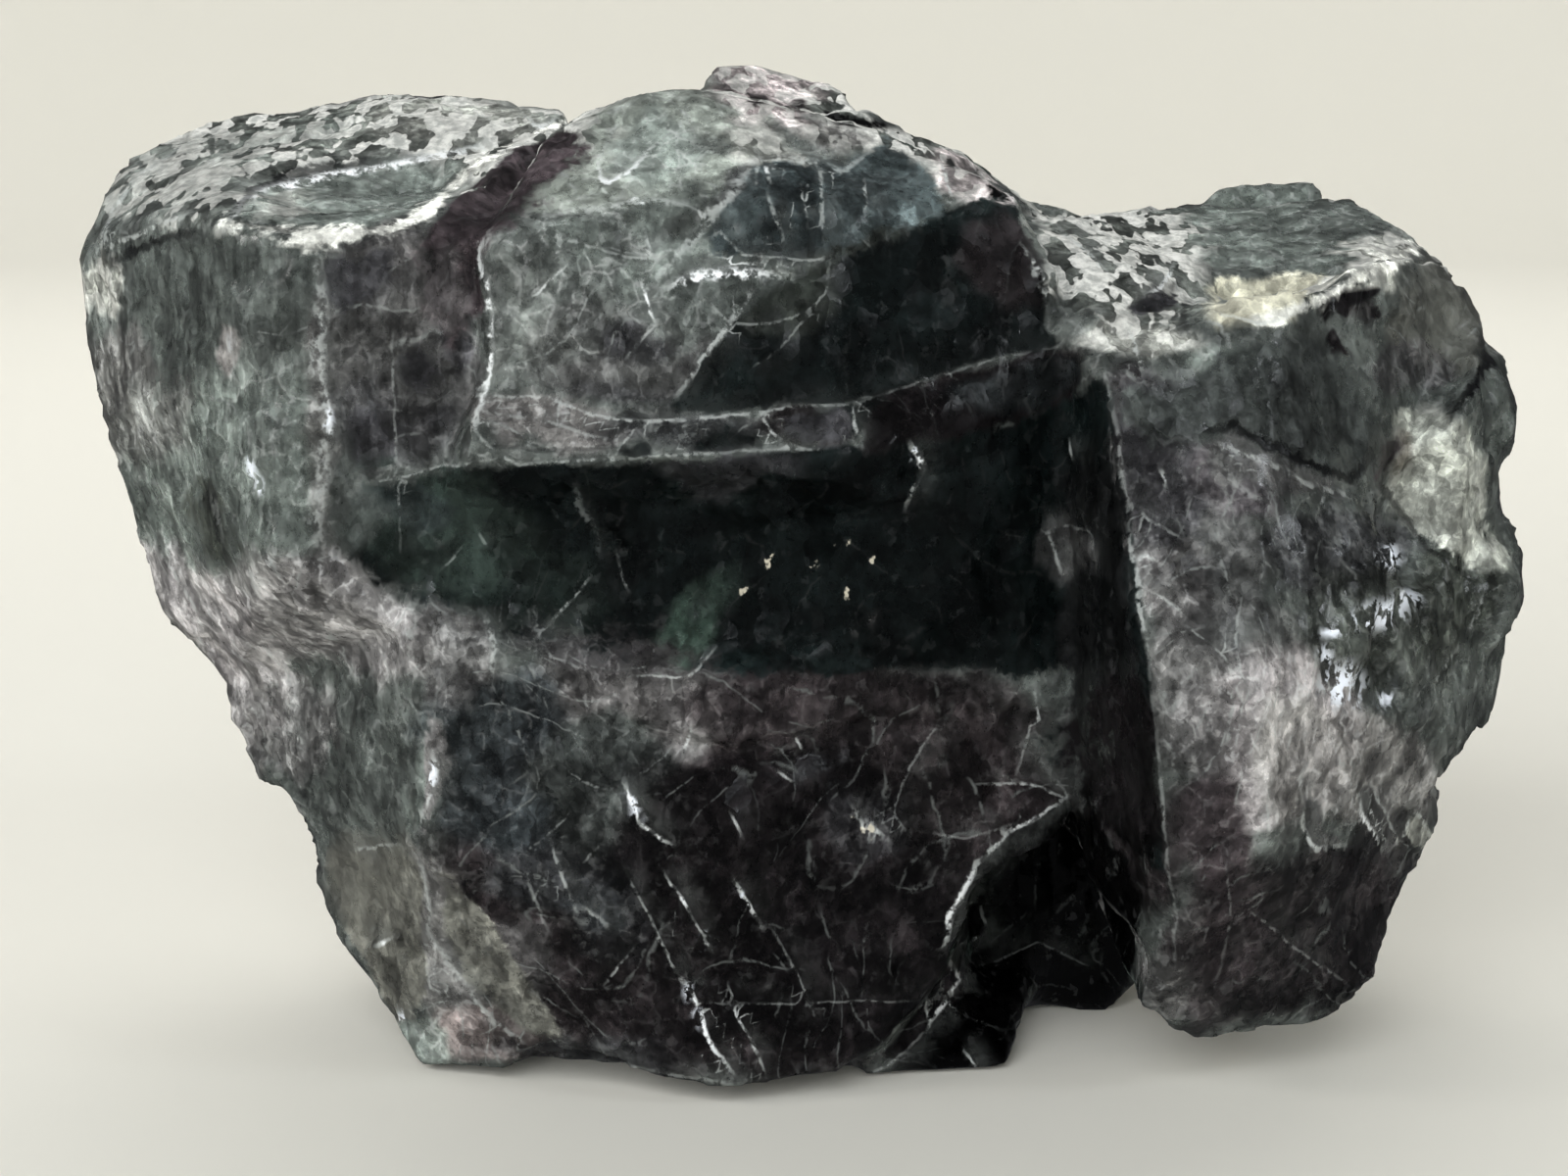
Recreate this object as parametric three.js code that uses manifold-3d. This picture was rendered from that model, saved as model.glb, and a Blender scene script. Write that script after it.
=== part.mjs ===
// A rough fluorite crystal, broken on every side, standing on its flat underside.
// Millimetres, +Z up. -Y is the front, +X the right of someone who looks at it.
// The stone is one piece: cleaved blocks that grew together, with hollows, ledges,
// grooves and chips cut out of them.
import * as THREE from "three";
import { ConvexGeometry } from "three/addons/geometries/ConvexGeometry.js";
import { ImprovedNoise } from "three/addons/math/ImprovedNoise.js";
import { TessellateModifier } from "three/addons/modifiers/TessellateModifier.js";
import { mergeVertices } from "three/addons/utils/BufferGeometryUtils.js";
import Module from "manifold-3d";

// Driving dimensions of the whole stone, before it is set on its centre.
const LEFT = -60;
const RIGHT = 60;
const FRONT = -29;
const BACK = 33;
const TOP = 80;
const BASE = 0;

// The unevenness of the broken faces: slow swells with finer ones on them. They fade out
// towards the flat underside.
const FACET = 8;
const FACET_PASSES = 8;
const SWELLS = [
  { height: 1.5, length: 24 },
  { height: 0.9, length: 9 },
];
const FLAT_FOOT = 5;

// Points nearer than this are one point.
const SAME_POINT = 1e-3;

// Fluorite splits along four planes, the faces of an octahedron. Every chip is turned alike,
// because the stone is one crystal.
const CLEAVAGE_TURN = new THREE.Euler(0.42, 0.3, 0.22);

const wasm = await Module();
wasm.setup();

// A closed geometry as a solid that can be joined and cut.
function solid(geometry) {
  const bare = geometry.clone();
  bare.deleteAttribute("normal");
  bare.deleteAttribute("uv");
  const merged = mergeVertices(bare, SAME_POINT);
  return new wasm.Manifold(
    new wasm.Mesh({
      numProp: 3,
      vertProperties: merged.attributes.position.array,
      triVerts: new Uint32Array(merged.index.array),
    }),
  );
}

// A cleaved block: flat faces through its corners.
function block(...corners) {
  return solid(new ConvexGeometry(corners.map((c) => new THREE.Vector3(...c))));
}

// A shell-shaped hollow or lump: an ellipsoid of half-widths `half` round `at`.
function bowl(at, half, turn, detail) {
  const shape = new THREE.IcosahedronGeometry(1, detail).scale(...half);
  shape.applyMatrix4(
    new THREE.Matrix4().makeRotationFromEuler(new THREE.Euler(...turn)),
  );
  return solid(shape.translate(...at));
}

// A chip broken out along the cleavage planes, stretched by `shape`.
function chip(at, size, shape = [1, 1, 1]) {
  const octahedron = new THREE.OctahedronGeometry(size).scale(...shape);
  octahedron.applyMatrix4(
    new THREE.Matrix4().makeRotationFromEuler(CLEAVAGE_TURN),
  );
  return solid(octahedron.translate(...at));
}

// A thin splinter groove on the front, leaning by `lean` radians from upright.
function groove(at, length, width, depth, lean) {
  const lens = new THREE.OctahedronGeometry(1).scale(width, depth, length / 2);
  return solid(lens.rotateY(lean).translate(...at));
}

function join(pieces) {
  return pieces.reduce((whole, piece) => whole.add(piece));
}

// The upper left of the stone, under the etched top that rises to the back.
const westBlock = block(
  [LEFT, 4, 64.5],
  [LEFT + 0.2, 5, 58],
  [LEFT + 2, 5, 47],
  [LEFT + 6, 5, 35],
  [LEFT + 10.7, 4, 29],
  [LEFT + 2.5, 0, 67.5],
  [LEFT + 9, -8, 69],
  [-44.5, -16, 69.5],
  [-38.5, -20, 68.8],
  [-29.5, -18, 69],
  [-24.5, -9, 71.8],
  [-39, -22, 45],
  [-29, -19.5, 38],
  [-24, -17, 52],
  [-23.5, -15.5, 68],
  [LEFT + 1.8, 14, 72.3],
  [LEFT + 4.4, 18, 74.2],
  [LEFT + 10, 22, 75.6],
  [-41.5, 26, 77.4],
  [-30, 28, 77.2],
  [-24.5, 22, 76.5],
  [-20, 14, 75.8],
  [LEFT + 2, 18, 50],
  [LEFT + 11, 17, 30],
  [-28, 28, 32],
  [-37, BACK - 1, 58],
);

// The lower left, which narrows to a blunt toe.
const toeBlock = block(
  [LEFT + 10.7, 4, 29],
  [-48.1, 3, 25],
  [-43.5, 1, 20.3],
  [-41.6, 0, 19],
  [-40.3, -1, 14],
  [-38.7, -3, 10.5],
  [-35.4, -7, 5.2],
  [-32.5, -10, 2],
  [-31, -12, 0.5],
  [-24, -14.5, 1.1],
  [-18.5, -16, 3.4],
  [-29, -20.5, 38],
  [-28.5, -20.5, 23],
  [-28, -18.5, 13],
  [-9, -19, 34],
  [-9, -19.5, 6],
  [-44, 16, 22],
  [-37, 17, 12],
  [-30, 12, BASE],
  [-12, 14, BASE],
);

// The heart of the stone, with the flat underside that it stands on.
const heart = block(
  [-36, -10, 66],
  [17, -8, 62],
  [24, -6, 24],
  [12, -9, 5],
  [-30, -9, 4],
  [-26, -8, BASE],
  [-6, -12, BASE],
  [12, -11, BASE],
  [19, 2, BASE],
  [14, 16, BASE],
  [-8, 20, BASE],
  [-28, 11, BASE],
  [-44, 24, 66],
  [-30, 31, 60],
  [20, 30, 60],
  [40, 28, 55],
  [46, 24, 30],
  [30, 24, 10],
  [-20, 27, 14],
  [-38, 22, 24],
);

// The cleaved pane in the upper middle: steep below, leaning back above its crease.
const pane = block(
  [-24, -17.5, 68.5],
  [-23.4, -18.6, 62],
  [-24.6, -18.6, 56],
  [-12.4, -18.5, 54],
  [4, -18, 55.5],
  [14.5, -15.5, 58.5],
  [19.5, -13.5, 60],
  [20.3, -12, 64.5],
  [17.2, -8, 69.8],
  [11, -9, 70.1],
  [-19.3, -13, 70],
  [-4.2, -13, 70.8],
  [11, -4, 73.5],
  [7, -1.5, 76],
  [-6.5, -1, 78.2],
  [-13, -3, 77.8],
  [-17, -4.5, 77.1],
  [-19.5, -4, 76],
  [-4.5, 18, 78.2],
  [7.5, 18, 74],
  [-18, 20, 75],
  [16, 18, 66],
  [-20, 20, 50],
  [16, 20, 50],
);

// The slope behind the summit, which falls away to the back.
const backSlope = block(
  [-26, 16, 75],
  [-9, 18, 75.5],
  [6, 18, 73.3],
  [20, 17, 66.3],
  [31, 20, 65.8],
  [-40, 28, 70],
  [-22, BACK - 2, 67],
  [4, BACK, 61],
  [28, BACK - 3, 56],
  [41, 26, 58],
  [-38, 28, 40],
  [-20, 30, 35],
  [20, 30, 38],
  [38, 25, 38],
  [-26, 8, 60],
  [20, 8, 60],
);

// The ledge that curves under the pane, and the body below it.
const brow = block(
  [-24.8, -18.5, 56.5],
  [-12.4, -18.5, 54.3],
  [4, -17.5, 55.8],
  [20, -14, 60],
  [-24.5, -21.3, 53],
  [-21, -21.5, 51.8],
  [-8.5, -21.5, 52.6],
  [4.3, -20.5, 53.3],
  [13.7, -18, 54.5],
  [22.5, -13.5, 57.5],
  [-30, -21, 38],
  [-5, -20, 30],
  [20, -13, 32],
  [-20, 10, 40],
  [20, 10, 40],
);

// The lower front, which leans out to a thin scalloped rim.
const apron = block(
  [-30, -20.5, 38],
  [-7, -17, 34.5],
  [21.5, -11.5, 33],
  [-27, -21.5, 27],
  [-8.5, -22.5, 23.5],
  [14.5, -15, 19.3],
  [21, -12.5, 23.2],
  [-19, -17, 3.9],
  [-11, -18.8, 2.9],
  [-6, -20, 2.1],
  [1, -19, 2.4],
  [7, -17, 2],
  [10.5, -15.5, 5.8],
  [12, -15, 9],
  [-16, 8, 3],
  [4, 4, 3],
  [18, 4, 24],
);

// A low foot at the back of the recess.
const foot = block(
  [4.5, -15, BASE],
  [18.5, -13, BASE],
  [18.8, -11, 2.2],
  [17, -6, 4.5],
  [5, -8, 4.5],
  [4, 10, 6],
  [20, 10, 8],
  [4, 10, BASE],
  [20, 8, BASE],
);

// The wall behind the recess, which ties the right-hand mass to the heart.
const recessWall = block(
  [14, 1.5, BASE],
  [27, 2, BASE],
  [30, 3, 3],
  [31, 3, 11],
  [29, 2, 23],
  [14, 1.5, 23],
  [14, 14, BASE],
  [25, 13, BASE],
  [31, 14, 8],
  [30, 14, 24],
  [14, 14, 24],
);

// The right-hand mass, proud of the middle, with a sharp upright edge.
const buttress = block(
  [20.5, -14, 60.3],
  [23, -19, 57.8],
  [24.3, -24, 46],
  [25.3, -26.5, 40.5],
  [26.4, -28, 32],
  [27.3, -28, 25],
  [28.9, -26.5, 18.4],
  [28.9, -24, 13],
  [25.7, -20, 9],
  [27, -12.5, 61.8],
  [32, -14.5, 62],
  [39, -12.5, 63.7],
  [45.7, -5, 65.6],
  [53.5, 7, 64.5],
  [55.8, 6, 60],
  [57.5, 3, 50],
  [35.5, -22.5, 50],
  [33.3, FRONT, 36.5],
  [35.3, -28, 25],
  [44, -18.5, 42],
  [25, 20, 55],
  [55, 20, 55],
  [19.5, -9, 55],
  [20, -9, 32],
  [23, -8, 14],
);
const buttressFoot = block(
  [25.3, -26.5, 40.5],
  [27.3, -28, 25],
  [28.9, -26.5, 18.4],
  [28.9, -24, 13],
  [25.7, -20, 9],
  [33.3, FRONT, 36.5],
  [35.3, -28, 25],
  [48.5, -14.5, 31],
  [RIGHT - 1, 0, 31],
  [53, -4, 23],
  [52, -5.5, 18],
  [50, -7, 14.5],
  [46.5, -10, 8],
  [41, -13, 5.2],
  [31.5, -17, 5.4],
  [20, -8, 32],
  [25, -6, 12],
  [45, 16, 10],
  [30, 14, 7],
  [55, 16, 28],
  [57, 10, 40],
);
const eastBlock = block(
  [44, -18.5, 42],
  [48.5, -14.5, 31],
  [55, -6, 56],
  [RIGHT - 4.2, 4, 60],
  [RIGHT - 2, 4, 47],
  [RIGHT, 2, 38],
  [RIGHT, 1, 33],
  [RIGHT - 2, 0, 27],
  [53, -4, 22.5],
  [56, 20, 55],
  [RIGHT - 1, 18, 38],
  [54, 17, 22],
  [30, 24, 55],
  [30, 20, 25],
);

// The dark slope behind, on the right, and the thin fin that stands on it.
const shoulder = block(
  [22, 14, 67.8],
  [28.5, 17, 67.6],
  [33.5, 20, 68.2],
  [48.5, 20, 68.2],
  [51.6, 15, 66.6],
  [54.8, 9, 63.4],
  [46, -1, 64.6],
  [34, 1, 64.8],
  [25, 4, 65.6],
  [50, 27, 60],
  [26, 28, 60],
  [54, 8, 54],
  [24, 0, 54],
  [50, 26, 45],
  [20, 28, 45],
);
const fin = block(
  [33.5, 19, 66],
  [37, 22, 69.4],
  [40, 24, 70],
  [43, 24, 70],
  [46, 23, 69.4],
  [47, 21, 67],
  [38, 27, 68],
  [45, 27, 68],
  [36, 29, 62],
  [48, 28, 62],
);

// The saddle between the pane and the right-hand mass.
const saddle = block(
  [18.5, 4, 68.8],
  [23, 12, 67.9],
  [33, 15, 67],
  [35, 3, 64.6],
  [32.3, -12, 62],
  [24, -14.5, 61.8],
  [20, -14.5, 60.5],
  [19, -6, 64.5],
  [18, 18, 60],
  [34, 18, 55],
  [20, -8, 52],
  [32, -10, 52],
);

// The knobbly cap on the summit and the crest that runs down from it to the right.
const cap = block(
  [-8, 4, 78.3],
  [-6.5, 9, TOP],
  [-2, 12, TOP - 0.3],
  [1.3, 12, TOP - 0.7],
  [4.2, 10, 78.8],
  [5.3, 6, 76.6],
  [3.6, 1.5, 75.6],
  [-1.2, -0.5, 76],
  [-6.4, 1, 77],
  [-6.3, 19, 78.6],
  [3, 19, 77.4],
  [-1, 21, 70],
);
const crest = block(
  [3, 3, 77.6],
  [6, 5, 77.8],
  [8.5, 5, 76.2],
  [13.5, 5, 73],
  [18, 7, 70.4],
  [21.5, 9, 68.7],
  [12, 0, 71.5],
  [18.5, 1, 67.5],
  [4, 17, 76.6],
  [14, 19, 72.5],
  [22, 18, 68],
  [6, 20, 66],
  [22, 20, 60],
);

// Two rounded knuckles on the right-hand rim.
const knuckles = [
  bowl([54.3, 7, 51.8], [6.2, 10, 6.6], [0, 0.12, 0.2], 1),
  bowl([54.2, 5, 38.2], [7.4, 12, 8.4], [0, -0.05, 0.1], 1),
];

// A blunt tooth under them.
const tooth = block(
  [48, -9.5, 20],
  [51.6, -5, 19.8],
  [52.2, -4.4, 17.8],
  [50, -7.5, 16.8],
  [47, -10, 17.4],
  [49, -2, 21],
  [52, -1, 19],
  [48, -4, 16.5],
);

// A back that bulges in two broad swells.
const backSwells = [
  bowl([-22, 12, 46], [25, BACK - 13, 24], [0.1, 0.2, -0.1], 3),
  bowl([24, 11, 40], [26, BACK - 14, 22], [-0.1, 0.3, 0.15], 3),
];

// A loose-edged flake beside the recess.
const flake = block(
  [12.2, -15.8, 16.6],
  [15.6, -15.2, 12.4],
  [12, -15.4, 11],
  [11, -13, 17],
  [14.8, -12.8, 12.4],
  [10.5, -12.5, 10.8],
);

// The long dark hollow across the front, under the ledge. The right-hand mass covers its end.
const longHollow = bowl([-6, -34.4, 43.4], [46, 18, 12.5], [0.06, 0.06, 0.03], 5);

const middle = join([westBlock, toeBlock, heart, pane, backSlope, brow, apron]);
const joined = join([
  middle.subtract(longHollow),
  foot,
  recessWall,
  buttress,
  buttressFoot,
  eastBlock,
  shoulder,
  fin,
  saddle,
  cap,
  crest,
  flake,
  tooth,
  ...knuckles,
  ...backSwells,
]);

// What has broken out of the stone or was dissolved from it.
const hollows = [
  // The recess at the lower right of the front, and the slot that it opens into.
  block(
    [21.3, -32, 22.5],
    [14.5, -32, 19],
    [11.8, -32, 15],
    [11.5, -32, 9],
    [10.8, -32, 5.5],
    [27.5, -32, 14.5],
    [26.8, -32, 7],
    [26.5, -32, -1],
    [19, -32, -1],
    [20.5, 2, 21],
    [14.5, 0, 17],
    [13, -2, 6],
    [25.5, 1, 13],
    [24.5, 2, 6],
  ),
  // The shallow basin in the etched top, and its small step to the right.
  bowl([-36, -6, 73.2], [12.5, 9, 3.4], [0.16, 0.06, 0.1], 3),
  bowl([-26, 5, 76.2], [7, 5, 2.6], [0.2, -0.1, 0.3], 3),
  // The pale basin on the right-hand shoulder.
  bowl([36.5, -6.5, 66], [8.5, 7, 3.4], [0.25, -0.12, 0.2], 3),
  // The crusted pocket on the right-hand rim.
  bowl([51.5, -12.5, 47], [5.6, 7, 7.2], [0, 0.1, 0.5], 3),
  // The scallop in the lower left rim.
  bowl([-18, -17, -1.5], [8, 6, 5], [0, 0, 0], 3),
  // The fall of the saddle between pane and right-hand mass.
  bowl([27.5, 4, 73.5], [10, 20, 6.5], [0.1, 0.1, 0.35], 3),
  // Broad shells on the left flank.
  bowl([-62.5, -18, 52], [9, 14, 11], [0, 0.2, 0.5], 3),
  bowl([-52, -18, 30], [10, 14, 9], [0.2, 0.5, 0.3], 3),
  // Broad shells on the back.
  bowl([-8, 45, 66], [18, 16, 14], [0.2, 0.1, 0.1], 3),
  bowl([30, 46, 30], [15, 17, 12], [0, 0.3, -0.1], 3),
  bowl([-42, 42, 30], [16, 18, 10], [0.1, -0.4, 0.2], 3),
];

// Splinter grooves that lean across the lower front.
const SPLINTER_LEAN = -0.42;
const grooves = [
  groove([-12.5, -22, 22.5], 9, 0.7, 1.6, SPLINTER_LEAN),
  groove([-3.6, -21.6, 15.5], 6, 0.6, 1.5, SPLINTER_LEAN),
  groove([-8.4, -20.8, 7.5], 9, 0.9, 1.8, SPLINTER_LEAN),
];

// Chips along the edges, larger where the edge is bolder.
const chips = [
  chip([-60.5, -1, 63], 2.6),
  chip([-57.5, -3, 40], 2.2, [1, 1, 1.6]),
  chip([-50.5, -1.5, 30.5], 2.4),
  chip([-44.2, -2, 16.6], 6.6, [1, 1.6, 1]),
  chip([-40, -7, 12], 2),
  chip([-33, -15, 3.5], 2.2),
  chip([-24.6, -16.5, 70], 1.8),
  chip([-36.5, -22.5, 58], 1.9, [1, 1, 2]),
  chip([-44, -17, 70.2], 2.2, [1.8, 1, 0.8]),
  chip([16, -17, 60.5], 2),
  chip([24.5, -26, 43], 1.8, [1, 1, 2]),
  chip([28.4, -29, 28], 1.7, [1, 1, 2.2]),
  chip([25.8, -21.5, 8.6], 1.8),
  chip([42.5, -23.5, 33], 2.6, [1, 1, 1.5]),
  chip([46, -18, 20.5], 2.8, [1, 1, 1.3]),
  chip([56.4, -6, 21], 7, [1, 1.8, 1]),
  chip([40, -15.5, 5.5], 2.2),
  chip([10, -18, 3], 2),
  chip([8, -19, 9], 1.6, [1, 1, 1.8]),
  chip([53.8, -1.5, 56.5], 2.2, [0.6, 1.6, 1.4]),
  chip([-16, 2, 78.5], 2.2, [1.6, 1, 1]),
  chip([8.5, 5, 76.8], 1.8, [1.5, 1, 1]),
  chip([58.5, 14, 46], 3),
  chip([-58, 16, 44], 3.4),
  chip([-30, 34, 44], 5, [1.4, 1, 1.8]),
  chip([2, 33, 36], 6, [1.6, 1, 1.4]),
  chip([39, 30, 62], 6, [1.6, 1, 1]),
  chip([-44, 30, 72], 6, [1.8, 1, 1]),
  chip([12, 24, 72], 5, [2, 1.6, 1]),
  chip([-12, 34, 68], 6, [2, 1, 1]),
  chip([48, 27, 34], 7, [1, 1, 1.6]),
  chip([-44, 27, 26], 8, [1, 1, 1.4]),
];

const floorCut = block(
  [2 * LEFT, 2 * FRONT, BASE],
  [2 * RIGHT, 2 * FRONT, BASE],
  [2 * LEFT, 2 * BACK, BASE],
  [2 * RIGHT, 2 * BACK, BASE],
  [2 * LEFT, 2 * FRONT, BASE - TOP],
  [2 * RIGHT, 2 * FRONT, BASE - TOP],
  [2 * LEFT, 2 * BACK, BASE - TOP],
  [2 * RIGHT, 2 * BACK, BASE - TOP],
);

const stone = [...hollows, ...grooves, ...chips, floorCut].reduce(
  (whole, cut) => whole.subtract(cut),
  joined,
);

// Swells and dents all over a geometry, none at its underside.
function uneven(geometry) {
  const small = new TessellateModifier(FACET, FACET_PASSES).modify(geometry);
  const noise = new ImprovedNoise();
  const places = small.attributes.position;
  const place = new THREE.Vector3();
  for (let i = 0; i < places.count; i++) {
    place.fromBufferAttribute(places, i);
    const moved = place.clone();
    const fade = THREE.MathUtils.smoothstep(place.z, BASE, BASE + FLAT_FOOT);
    for (const { height, length } of SWELLS) {
      const [x, y, z] = place.clone().divideScalar(length).toArray();
      moved.x += fade * height * noise.noise(x + 5, y, z);
      moved.y += fade * height * noise.noise(x, y + 15, z);
      moved.z += fade * height * noise.noise(x, y, z + 25);
    }
    places.setXYZ(i, moved.x, moved.y, moved.z);
  }
  return mergeVertices(small, SAME_POINT);
}

// The joined solid as a geometry whose origin is the middle of its underside.
function geometryOf(body) {
  const mesh = body.getMesh();
  const places = new Float32Array(mesh.numVert * 3);
  for (let i = 0; i < mesh.numVert; i++) {
    const start = i * mesh.numProp;
    places.set(mesh.vertProperties.subarray(start, start + 3), i * 3);
  }
  const smooth = new THREE.BufferGeometry()
    .setAttribute("position", new THREE.BufferAttribute(places, 3))
    .setIndex(new THREE.BufferAttribute(mesh.triVerts, 1));
  const geometry = uneven(smooth);
  geometry.computeBoundingBox();
  const { min, max } = geometry.boundingBox;
  geometry.translate(-(min.x + max.x) / 2, -(min.y + max.y) / 2, -min.z);
  geometry.computeVertexNormals();
  return geometry;
}

const darkFluorite = new THREE.MeshStandardMaterial({
  color: 0x33393a,
  roughness: 0.18,
  metalness: 0,
  flatShading: true,
});

const crystal = new THREE.Mesh(geometryOf(stone), darkFluorite);
crystal.name = "fluorite_crystal";

const specimen = new THREE.Group();
specimen.add(crystal);

export default specimen;
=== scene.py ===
"""A rough crystal of dark green and violet fluorite, on a pale studio floor."""
import math
from collections import namedtuple
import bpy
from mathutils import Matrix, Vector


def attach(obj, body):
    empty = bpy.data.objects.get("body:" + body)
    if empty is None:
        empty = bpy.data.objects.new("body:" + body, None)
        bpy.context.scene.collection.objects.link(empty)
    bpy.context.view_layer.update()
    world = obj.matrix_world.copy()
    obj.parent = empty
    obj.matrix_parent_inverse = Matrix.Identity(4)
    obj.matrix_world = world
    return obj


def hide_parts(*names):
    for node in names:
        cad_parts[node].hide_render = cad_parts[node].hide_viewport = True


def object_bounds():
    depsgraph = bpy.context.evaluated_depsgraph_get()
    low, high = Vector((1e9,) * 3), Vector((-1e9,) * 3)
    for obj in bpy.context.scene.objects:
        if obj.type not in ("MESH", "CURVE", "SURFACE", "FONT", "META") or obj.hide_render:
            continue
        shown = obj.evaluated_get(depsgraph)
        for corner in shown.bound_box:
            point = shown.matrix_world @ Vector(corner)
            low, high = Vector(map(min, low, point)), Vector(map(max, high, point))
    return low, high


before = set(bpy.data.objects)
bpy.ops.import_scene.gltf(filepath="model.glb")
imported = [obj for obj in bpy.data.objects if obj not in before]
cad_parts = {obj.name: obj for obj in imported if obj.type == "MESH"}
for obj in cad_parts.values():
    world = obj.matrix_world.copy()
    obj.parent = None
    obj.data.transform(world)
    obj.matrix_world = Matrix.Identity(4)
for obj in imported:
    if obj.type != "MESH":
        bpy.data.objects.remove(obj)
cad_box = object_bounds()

from types import SimpleNamespace

import bpy
import numpy as np
from mathutils import Euler, Vector

MM = 0.001
NODE = "fluorite_crystal"

# The camera: its aim point in mm, its height angle, its distance in mm, and its lens.
AIM = np.array([-1.88, -1.77, 37.94])
ELEVATION = math.radians(12.0)
DISTANCE = 240.0
SENSOR_WIDTH = 36.0
FRAME_PX = (1600, 1200)
FOCAL_PX = 2945.0
PX_PER_MM = FOCAL_PX / DISTANCE

AHEAD = np.array([0.0, math.cos(ELEVATION), -math.sin(ELEVATION)])
UPRIGHT = np.array([0.0, math.sin(ELEVATION), math.cos(ELEVATION)])
EYE = AIM - DISTANCE * AHEAD

# The edge length that the solid is remeshed to, in mm.
FINE_EDGE = 0.65

# The stone's four cleavage planes, as the solid has them.
CLEAVAGE_TURN = Euler((0.42, 0.3, 0.22))
CRYSTAL_FRAME = np.array(CLEAVAGE_TURN.to_matrix())
CLEAVAGES = [
    np.array(CLEAVAGE_TURN.to_matrix() @ Vector(way).normalized())
    for way in ((1, 1, 1), (-1, 1, 1), (1, -1, 1), (1, 1, -1))
]

# More than any distance on the stone, in mm.
FAR = 1000.0


def smoothstep(low, high, value):
    t = np.clip((value - low) / (high - low), 0.0, 1.0)
    return t * t * (3.0 - 2.0 * t)


def unit(vectors):
    return vectors / np.maximum(np.linalg.norm(vectors, axis=-1, keepdims=True), 1e-12)


# Noise. Large odd factors, and shifts of the bits, scatter the whole numbers of neighbouring cells.
CELL_FACTORS = (374761393, 668265263, 1440662683)
SEED_FACTOR = 974634777
ROUNDS = ((13, 1274126177), (16, 2246822519))
LAST_SHIFT = 15
BITS_32 = 0xFFFFFFFF
BITS_24 = 0xFFFFFF

# About how far three or four ever finer layers of noise reach together.
LAYER_REACH = 1.5


def lattice(cells, seed):
    """One repeatable random number from 0 to 1 for each whole-number cell."""
    mixed = seed * SEED_FACTOR
    for k, factor in enumerate(CELL_FACTORS):
        mixed = mixed + cells[..., k].astype(np.int64) * factor
    mixed &= BITS_32
    for shift, factor in ROUNDS:
        mixed = ((mixed ^ (mixed >> shift)) * factor) & BITS_32
    return ((mixed ^ (mixed >> LAST_SHIFT)) & BITS_24) / BITS_24


def noise(points, size, seed):
    """Smooth noise from -1 to 1 with lumps of that size in mm."""
    scaled = points / size
    low = np.floor(scaled)
    part = scaled - low
    part = part * part * part * (part * (part * 6.0 - 15.0) + 10.0)
    total = np.zeros(len(points))
    for corner in np.ndindex(2, 2, 2):
        share = np.prod(np.where(corner, part, 1.0 - part), axis=1)
        total += share * lattice(low + corner, seed)
    return total * 2.0 - 1.0


def fractal(points, size, seed, octaves=3):
    """Layers of ever finer noise, scaled to lie mostly from -1 to 1."""
    layers = [noise(points, size / 2**k, seed + k) / 2**k for k in range(octaves)]
    return sum(layers) / LAYER_REACH


def shards(points, size, seed):
    """The distances to the nearest two of scattered seeds, the way to the nearest, and its three numbers."""
    scaled = points / size
    home = np.floor(scaled)
    first = np.full(len(points), FAR)
    second = first.copy()
    way = np.zeros_like(points)
    cell = np.zeros_like(points)
    for step in np.ndindex(3, 3, 3):
        here = home + np.array(step) - 1.0
        jitter = np.stack([lattice(here, seed + k) for k in range(3)], axis=1)
        offset = here + jitter - scaled
        distance = np.linalg.norm(offset, axis=1)
        nearer = distance < first
        second = np.where(nearer, first, np.minimum(second, distance))
        first = np.where(nearer, distance, first)
        way[nearer] = offset[nearer]
        cell[nearer] = here[nearer]
    random = np.stack([lattice(cell, seed + 10 + k) for k in range(3)], axis=1)
    return first * size, second * size, way * size, random


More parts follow.
